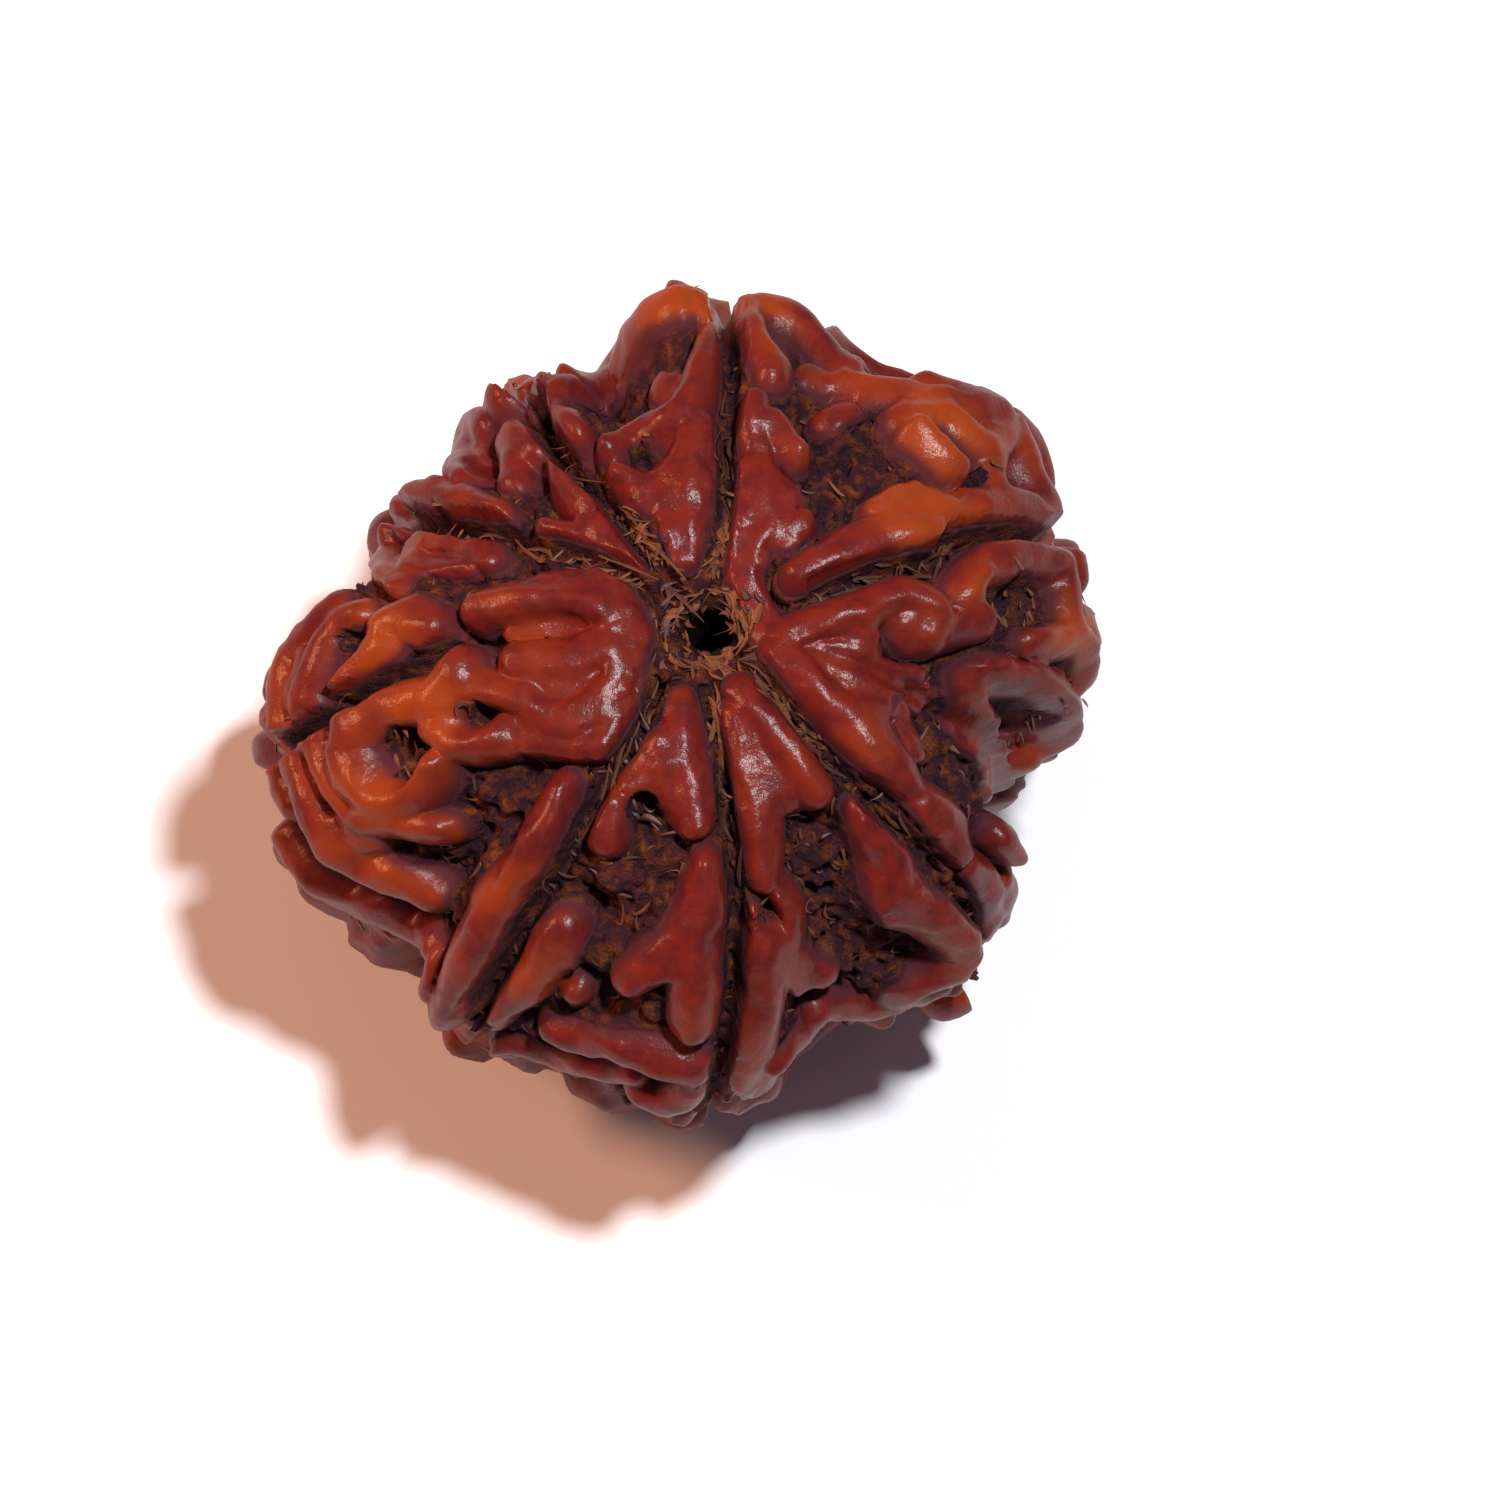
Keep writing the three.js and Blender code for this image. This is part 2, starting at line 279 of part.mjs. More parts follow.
const MIDDLE = new THREE.Vector3(CHANNEL_X, CHANNEL_Y, WAIST_HEIGHT);
const MOUTH = new THREE.Vector3(CHANNEL_X, CHANNEL_Y, MOUTH_HEIGHT);

function smoothStep(low, high, value) {
  const t = Math.min(1, Math.max(0, (value - low) / (high - low)));
  return t * t * (3 - 2 * t);
}

// Radius of the lobed outline at a compass angle, eased from one listed angle to the next
function lobeRadius(angle) {
  let degrees = THREE.MathUtils.radToDeg(angle);
  while (degrees < LOBES[0][0]) degrees += 360;
  let before = LOBES.length - 1;
  for (let i = 0; i < LOBES.length; i += 1) {
    if (LOBES[i][0] <= degrees) before = i;
  }
  const [fromAngle, fromRadius] = LOBES[before];
  const [toAngle, toRadius] = LOBES[(before + 1) % LOBES.length];
  const span = (toAngle - fromAngle + 360) % 360;
  return fromRadius + (toRadius - fromRadius) * smoothStep(0, span, degrees - fromAngle);
}

// Distance from the middle to the smooth envelope that the ridge crests touch
function envelopeReach(dir) {
  const flat = Math.hypot(dir.x, dir.y);
  const radius = lobeRadius(Math.atan2(dir.y, dir.x));
  const rise = dir.z > 0 ? CROWN_RISE : FOOT_DROP;
  const sum = (flat / radius) ** FULLNESS + (Math.abs(dir.z) / rise) ** FULLNESS;
  const reach = sum ** (-1 / FULLNESS);
  const fromAxis = reach * flat;
  const dent = dir.z > 0 ? DENT_DEPTH * Math.exp(-((fromAxis / DENT_RADIUS) ** 2)) : 0;
  return reach - dent;
}

function envelopePoint(dir) {
  return MIDDLE.clone().addScaledVector(dir, envelopeReach(dir));
}

// Envelope point behind a place in the photo. A place just outside the outline goes to the nearest edge.
function castOnEnvelope(right, up) {
  const start = MOUTH.clone().addScaledVector(SEEN_RIGHT, right).addScaledVector(SEEN_UP, up);
  const along = (t) => start.clone().addScaledVector(TO_VIEWER, t).sub(MIDDLE);
  const excess = (offset) => offset.length() / envelopeReach(offset.clone().normalize());
  let best = 8;
  for (let t = 8; t > -24; t -= 0.25) {
    if (excess(along(t)) < excess(along(best))) best = t;
  }
  if (excess(along(best)) >= 1) return envelopePoint(along(best).normalize());
  let outside = 12;
  let inside = best;
  for (let i = 0; i < 30; i += 1) {
    const half = (outside + inside) / 2;
    if (excess(along(half)) > 1) outside = half;
    else inside = half;
  }
  return MIDDLE.clone().add(along(inside));
}

// Straight pieces of a path on the envelope, each with a half width at both ends
function pathPieces(points, widths) {
  const pieces = [];
  for (let i = 0; i < Math.max(1, points.length - 1); i += 1) {
    const next = Math.min(i + 1, points.length - 1);
    const span = points[next].clone().sub(points[i]);
    const growth = widths[next] - widths[i];
    pieces.push({ from: points[i], span, square: span.lengthSq(), width: widths[i], growth });
  }
  return pieces;
}

// Distance from a point to a piece, and the piece's half width beside it
function nearPiece(point, { from, span, square, width, growth }) {
  const x = point.x - from.x;
  const y = point.y - from.y;
  const z = point.z - from.z;
  const along = square > 0 ? (x * span.x + y * span.y + z * span.z) / square : 0;
  const share = Math.min(1, Math.max(0, along));
  const distance = Math.hypot(x - share * span.x, y - share * span.y, z - share * span.z);
  return { distance, width: width + growth * share };
}

// Unit vector by its angle round the stone and its angle over the ground
function directionOf(turn, lift) {
  return new THREE.Vector3(Math.cos(turn) * Math.cos(lift), Math.sin(turn) * Math.cos(lift), Math.sin(lift));
}

// A suture goes on from its last seen place down the side, close to the foot
function suturePoints(seen) {
  const points = seen.map(([right, up]) => castOnEnvelope(right, up));
  const last = points[points.length - 1].clone().sub(MIDDLE);
  const turn = Math.atan2(last.y, last.x);
  const lift = Math.atan2(last.z, Math.hypot(last.x, last.y));
  for (let step = 1; step <= SUTURE_STEPS; step += 1) {
    const lower = lift + (SUTURE_END_LIFT - lift) * (step / SUTURE_STEPS);
    points.push(envelopePoint(directionOf(turn + SUTURE_SWAY * Math.sin(1.3 * step), lower)));
  }
  return points;
}

const ridgeParts = RIDGES.map(([, level, path]) => ({
  level,
  pieces: pathPieces(path.map(([right, up]) => castOnEnvelope(right, up)), path.map((place) => place[2])),
}));
const sutureParts = SUTURES.map(([, seen]) => {
  const points = suturePoints(seen);
  return pathPieces(points, points.map(() => SUTURE_HALF_WIDTH));
});
const pitParts = PITS.map(([, [right, up, radius]]) => ({ centre: castOnEnvelope(right, up), radius }));

// Repeatable draws between 0 and 1
function seededDraws(seed) {
  let state = seed;
  return () => {
    state = (state * 16807) % 2147483647;
    return state / 2147483647;
  };
}

// Sum of waves in all directions: an even, irregular field of about unit size
function waveField(seed, spacing, count) {
  const draw = seededDraws(seed);
  const waves = [];
  for (let i = 0; i < count; i += 1) {
    const tilt = 2 * draw() - 1;
    const turn = 2 * Math.PI * draw();
    const level = Math.sqrt(1 - tilt * tilt);
    const push = (2 * Math.PI) / (spacing * (0.85 + 0.3 * draw()));
    const way = new THREE.Vector3(level * Math.cos(turn), level * Math.sin(turn), tilt).multiplyScalar(push);
    waves.push({ way, phase: 2 * Math.PI * draw() });
  }
  const size = Math.sqrt(2 / count);
  return (place) => size * waves.reduce((sum, wave) => sum + Math.cos(wave.way.dot(place) + wave.phase), 0);
}
const hiddenField = waveField(4271, HIDDEN_RIDGE_SPACING, 28);
const floorField = waveField(915, 1.9, 24);

// Rounded ridge section: 1 on the crest, 0 at the foot
function ridgeSection(share) {
  return share < 1 ? 1 - share ** RIDGE_ROUNDNESS : 0;
}

// The higher of two rises, flowing into each other where they are alike
function blendRises(a, b) {
  const likeness = Math.max(0, RIDGE_BLEND - Math.abs(a - b));
  const standing = Math.min(1, Math.max(0, Math.min(a, b)) / RIDGE_BLEND);
  return Math.max(a, b) + (standing * likeness ** 2) / (4 * RIDGE_BLEND);
}

// Height of the real surface over the envelope, below zero nearly everywhere
function relief(point) {
  const offset = point.clone().sub(MIDDLE);
  const radius = lobeRadius(Math.atan2(offset.y, offset.x));
  const slant = new THREE.Vector3(offset.x / radius ** 2, offset.y / radius ** 2, offset.z / CROWN_RISE ** 2);
  const facing = slant.normalize().dot(TO_VIEWER);
  const fromAxis = Math.hypot(offset.x, offset.y);
  const deepening = MOUTH_DEPTH_SHARE + (1 - MOUTH_DEPTH_SHARE) * smoothStep(...DEEPENING_RADII, fromAxis);
  const depth = offset.z > 0 ? deepening : 1;
  const floor = depth * (-FLOOR_DEPTH + FLOOR_ROUGHNESS * floorField(offset));
  const widening = 1 + EDGE_WIDENING * (1 - smoothStep(...EDGE_FACING, facing));
  let rise = 0;
  for (const { level, pieces } of ridgeParts) {
    let share = 1;
    for (const piece of pieces) {
      const { distance, width } = nearPiece(point, piece);
      share = Math.min(share, distance / (width * widening + RIDGE_FOOT));
    }
    rise = blendRises(rise, (level - floor) * ridgeSection(share));
  }
  let toSuture = 100;
  for (const pieces of sutureParts) {
    for (const piece of pieces) toSuture = Math.min(toSuture, nearPiece(point, piece).distance);
  }
  const hidden = 1 - smoothStep(...HIDDEN_FACING, facing);
  if (hidden > 0) {
    const flank = Math.exp(-(((toSuture - FLANK_DISTANCE) / FLANK_SPREAD) ** 2));
    const share = smoothStep(...HIDDEN_RIDGE_LEVELS, hiddenField(offset) + flank) * hidden;
    rise = blendRises(rise, -floor * share);
  }
  const sutureCut = -SUTURE_DEPTH + (SUTURE_DEPTH + SUTURE_RIM) * (toSuture / SUTURE_HALF_WIDTH) ** 2;
  let height = Math.min(floor + rise, depth * sutureCut);
  for (const { centre, radius: pitRadius } of pitParts) {
    const share = centre.distanceTo(point) / pitRadius;
    if (share < 1) height = Math.min(height, -PIT_DEPTH + (PIT_DEPTH + PIT_RIM) * share ** 3);
  }
  const worn = offset.z < 0 ? 1 - smoothStep(FOOT_WORN_RADIUS, FOOT_BLEND_RADIUS, fromAxis) : 0;
  return height * (1 - worn);
}

// Vertices on a steep ridge wall slide off it, up to the crest's edge or down to the floor
function slideOffWall(dir) {
  const side = new THREE.Vector3(0, 0, 1).cross(dir).normalize();
  const rise = dir.clone().cross(side);
  const reach = envelopeReach(dir);
  const moved = (across, along) =>
    dir.clone().addScaledVector(side, across / reach).addScaledVector(rise, along / reach).normalize();
  const heightAt = (across, along) => relief(envelopePoint(moved(across, along)));
  const slopeAcross = (heightAt(SLOPE_STEP, 0) - heightAt(-SLOPE_STEP, 0)) / (2 * SLOPE_STEP);
  const slopeAlong = (heightAt(0, SLOPE_STEP) - heightAt(0, -SLOPE_STEP)) / (2 * SLOPE_STEP);
  const slope = Math.hypot(slopeAcross, slopeAlong);
  if (slope < WALL_SLOPE) return dir;
  const way = heightAt(0, 0) > -FLOOR_DEPTH / 2 ? 1 : -1;
  const shift = (way * WALL_SHIFT) / slope;
  return moved(shift * slopeAcross, shift * slopeAlong);
}

// Stone before the channel is opened: an evenly divided ball, closer set on the visible side
function stoneGeometry() {
  const ball = new THREE.IcosahedronGeometry(1, FACE_STEPS);
  ball.deleteAttribute("normal");
  ball.deleteAttribute("uv");
  const geometry = mergeVertices(ball, MERGE_DISTANCE);
  const position = geometry.getAttribute("position");
  for (let i = 0; i < position.count; i += 1) {
    const even = new THREE.Vector3().fromBufferAttribute(position, i).normalize();
    const dir = slideOffWall(even.addScaledVector(TO_VIEWER, CROWDING).normalize());
    const outer = envelopePoint(dir);
    const place = outer.clone().addScaledVector(dir, relief(outer));
    position.setXYZ(i, place.x, place.y, Math.max(0, place.z));
  }
  return geometry;
}

// Stalk channel: narrow through the stone, wider at both mouths. It runs on past both ends to cut clean.
function channelGeometry() {
  const below = -2;
  const above = MOUTH_HEIGHT + 3;
  const profile = [
    [0, below], [CHANNEL_FOOT_RADIUS + 0.2, below], [CHANNEL_FOOT_RADIUS, 0.3], [CHANNEL_RADIUS, 1.8],
    [CHANNEL_RADIUS, MOUTH_HEIGHT / 2], [CHANNEL_RADIUS, MOUTH_HEIGHT - 1.9],
    [CHANNEL_MOUTH_RADIUS, MOUTH_HEIGHT - 0.9], [CHANNEL_MOUTH_RADIUS + 0.6, above], [0, above],
  ];
  const lathe = new THREE.LatheGeometry(profile.map(([r, z]) => new THREE.Vector2(r, z)), CHANNEL_SIDES);
  lathe.deleteAttribute("normal");
  lathe.deleteAttribute("uv");
  lathe.rotateX(Math.PI / 2);
  lathe.scale(CHANNEL_STRETCH, 1, 1);
  lathe.translate(CHANNEL_X, CHANNEL_Y, 0);
  return mergeVertices(lathe, MERGE_DISTANCE);
}

const wasm = await Module();
wasm.setup();

function toSolid(geometry) {
  return new wasm.Manifold(new wasm.Mesh({
    numProp: 3,
    vertProperties: new Float32Array(geometry.getAttribute("position").array),
    triVerts: new Uint32Array(geometry.getIndex().array),
  }));
}

function toGeometry(solid) {
  const mesh = solid.getMesh();
  const geometry = new THREE.BufferGeometry();
  geometry.setAttribute("position", new THREE.BufferAttribute(new Float32Array(mesh.vertProperties), 3));
  geometry.setIndex(new THREE.BufferAttribute(new Uint32Array(mesh.triVerts), 1));
  geometry.computeVertexNormals();
  return geometry;
}

const stone = toSolid(stoneGeometry()).subtract(toSolid(channelGeometry()));

const group = new THREE.Group();
const material = new THREE.MeshStandardMaterial({ color: 0x7a2a18, roughness: 0.4 });
const seed = new THREE.Mesh(toGeometry(stone), material);
seed.name = "seed";
group.add(seed);

export default group;
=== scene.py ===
import math

import bpy
import numpy as np
from mathutils import Matrix, Vector


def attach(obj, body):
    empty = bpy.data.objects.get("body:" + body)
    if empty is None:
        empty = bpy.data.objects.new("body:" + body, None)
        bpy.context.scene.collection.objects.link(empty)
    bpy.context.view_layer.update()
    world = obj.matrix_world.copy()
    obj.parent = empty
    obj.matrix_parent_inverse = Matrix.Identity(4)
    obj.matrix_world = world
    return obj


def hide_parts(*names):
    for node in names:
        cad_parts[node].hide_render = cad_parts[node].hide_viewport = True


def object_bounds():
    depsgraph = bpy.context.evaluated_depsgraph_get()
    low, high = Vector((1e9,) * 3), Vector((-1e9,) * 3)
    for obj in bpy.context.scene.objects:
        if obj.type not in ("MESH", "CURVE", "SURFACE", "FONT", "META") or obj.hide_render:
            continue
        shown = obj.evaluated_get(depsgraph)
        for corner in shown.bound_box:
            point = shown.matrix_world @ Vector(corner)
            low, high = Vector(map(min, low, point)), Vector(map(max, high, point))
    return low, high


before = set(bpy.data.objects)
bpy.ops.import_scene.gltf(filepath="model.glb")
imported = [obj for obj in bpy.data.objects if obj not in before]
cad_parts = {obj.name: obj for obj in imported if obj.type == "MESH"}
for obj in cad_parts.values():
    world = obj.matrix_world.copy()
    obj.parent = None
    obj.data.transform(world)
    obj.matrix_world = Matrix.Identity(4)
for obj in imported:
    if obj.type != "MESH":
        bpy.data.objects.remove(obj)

CAD_BOX = [list(corner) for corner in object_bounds()]

# Millimetres until a mesh is made. +Z runs up the stalk channel, -Y is towards the viewer.
MM = 0.001
TOP_HEIGHT = CAD_BOX[1][2] / MM - 0.02
CHANNEL_X = 1.02
CHANNEL_Y = -0.41
WAIST_HEIGHT = 9.4
CROWN_RISE = 9.6
FOOT_DROP = 9.7
FULLNESS = 2.3
DENT_DEPTH = 0.9
DENT_RADIUS = 2.6
MOUTH_HEIGHT = 18.1
# Crest radius round the channel, by compass angle in degrees from +X towards +Y
LOBES = [
    (7, 12.3), (30, 12.7), (46, 13.8), (65, 12.5), (82, 13.8), (88, 13.3), (95, 14.0), (110, 11.0),
    (120, 12.8), (127, 12.0), (137, 11.1), (147, 12.3), (158, 11.5), (172, 13.8), (183, 14.2), (199, 14.1),
    (205, 13.9), (212, 13.0), (220, 12.1), (230, 13.4), (246, 12.5), (266, 13.2), (279, 12.2), (288, 11.0),
    (295, 10.9), (304, 11.4), (316, 12.2), (322, 11.1), (330, 11.0), (339, 9.8), (346, 8.9), (352, 10.1),
    (358, 11.4),
]

# Relief
FLOOR_DEPTH = 1.2
FLOOR_ROUGHNESS = 0.22
MOUTH_DEPTH_SHARE = 0.55
DEEPENING_RADII = (1.6, 6.5)
RIDGE_FOOT = 0.46
RIDGE_ROUNDNESS = 2.3
RIDGE_BLEND = 0.3
EDGE_WIDENING = 0.9
EDGE_FACING = (0.02, 0.45)
SUTURE_DEPTH = 1.6
SUTURE_HALF_WIDTH = 0.55
SUTURE_RIM = 0.3
SUTURE_END_LIFT = math.radians(-66)
SUTURE_STEPS = 11
SUTURE_SWAY = 0.03
SUTURE_SWAY_TURN = 1.3
SUTURE_EDGE = (-1.2, -0.3)
PIT_DEPTH = 2.0
PIT_RIM = 0.2
PIT_EDGE = (-1.0, -0.2)
HIDDEN_RIDGE_SPACING = 3.4
HIDDEN_RIDGE_LEVELS = (-0.45, 0.85)
HIDDEN_FACING = (-0.35, -0.12)
FLANK_DISTANCE = 1.35
FLANK_SPREAD = 0.6
CREST_CLEARANCE = 0.08
# Fine relief, along the surface normal
GRAIN = 0.10
GRIT = 0.07
SWELL = 0.03
RIPPLE = 0.02
WALL_BULGE = 0.07
# Grain fades on walls: how far the surface faces outwards, from none of it to all of it
GRAIN_FACING = (0.35, 0.85)
# Close to the edge that the photo shows, the valleys are calmer and coloured like ridges
RIM_BEHIND = (-0.5, -0.25)
RIM_BEFORE = (0.08, 0.3)
RIM_CALM = 0.75
RIM_RIDGE = 0.85
# Depths under the envelope at which the colour of that rim ends and is full
RIM_DEPTHS = (1.9, 1.3)

# Channel and foot
CHANNEL_RADIUS = 0.5
CHANNEL_STRETCH = 1.2
CHANNEL_MOUTH_RADIUS = 0.7
CHANNEL_GRAIN = 0.4
FOOT_MOUTH_RADIUS = 1.1
# The channel narrows down to the first share of its length and widens from the second on
TOP_FLARE = 0.12
FOOT_FLARE = 0.9
FOOT_WORN_RADIUS = 3.4
FOOT_BLEND_RADIUS = 4.8

# Fine mesh: columns round the channel and rows from mouth to mouth, thinned afterwards
COLUMNS = 900
OUTER_ROWS = 520
CHANNEL_ROWS = 24
VISIBLE_ROW_BIAS = 0.12
TARGET_TRIANGLES = 190000

# Places on the visible side are given as the photo shows them, from 72 degrees above the ground:
# millimetres to the right of the channel's mouth, millimetres above it, then a half width.
VIEW_LIFT = math.radians(72)
SEEN_RIGHT = np.array([1.0, 0.0, 0.0])
SEEN_UP = np.array([0.0, math.sin(VIEW_LIFT), math.cos(VIEW_LIFT)])
TO_VIEWER = np.array([0.0, -math.cos(VIEW_LIFT), math.sin(VIEW_LIFT)])
# Search along the line of sight for the envelope, in millimetres towards the viewer
SIGHT_NEAR = 8
SIGHT_FAR = -24
SIGHT_STEP = 0.25
SIGHT_OUTSIDE = 12.0
SIGHT_HALVINGS = 30

# Grooves between the compartments, outwards. The fourth is seen only on the outer left lobe.
SUTURES = [
    [(0.2, 1.6), (0.4, 3.3), (0.5, 4.0), (0.55, 5.0), (0.5, 6.0), (0.65, 7.0), (0.7, 7.8), (0.75, 8.5),
     (0.55, 9.3)],
    [(-1.0, 1.3), (-1.6, 1.9), (-2.1, 2.5), (-2.7, 3.4), (-3.3, 4.3), (-4.1, 5.0), (-4.8, 5.7),
     (-5.25, 6.3), (-5.4, 7.0), (-5.45, 7.4)],
    [(-1.9, 1.3), (-2.8, 1.9), (-3.6, 2.3), (-4.6, 2.6), (-5.6, 2.7), (-6.5, 3.1)],
    [(-8.2, -0.6), (-9.2, -1.1), (-10.0, -1.5), (-10.9, -2.0), (-11.6, -2.4)],
    [(-1.6, -1.7), (-2.1, -2.8), (-2.6, -3.8), (-3.3, -4.7), (-3.9, -5.8), (-4.3, -6.8), (-4.9, -7.9),
     (-5.9, -9.3), (-6.4, -10.4), (-7.0, -11.3), (-7.3, -11.9)],
    [(-0.2, -1.9), (0.1, -3.0), (0.3, -4.0), (0.45, -5.0), (0.55, -6.2), (0.75, -7.4), (0.85, -8.5),
     (0.85, -9.5), (0.7, -10.4), (0.75, -11.3), (0.6, -12.3), (0.4, -13.3), (0.2, -14.2)],
    [(1.7, -1.6), (2.5, -2.4), (3.2, -3.3), (4.1, -4.3), (4.9, -5.2), (5.8, -6.0), (6.5, -6.7), (7.3, -7.5),
     (7.8, -8.3), (8.4, -9.0)],
    [(3.4, 1.2), (4.5, 1.6), (5.6, 2.0), (6.5, 2.1), (7.3, 2.3), (7.7, 2.9), (8.6, 3.0), (9.6, 3.05),
     (10.5, 2.9)],
]

# Round holes between ridges: right, up, radius
PITS = [
    (10.0, 0.9, 1.05), (9.9, -3.1, 1.0), (-9.6, -3.9, 1.0), (-7.2, -2.7, 0.5), (1.8, -9.0, 0.4),
    (-2.1, -5.6, 0.6), (-2.2, 5.45, 0.45), (9.4, 4.9, 0.35), (8.2, 4.7, 0.45), (-8.5, 3.4, 0.45),
    (-11.3, -0.4, 0.45), (-11.75, -5.5, 0.35),
]

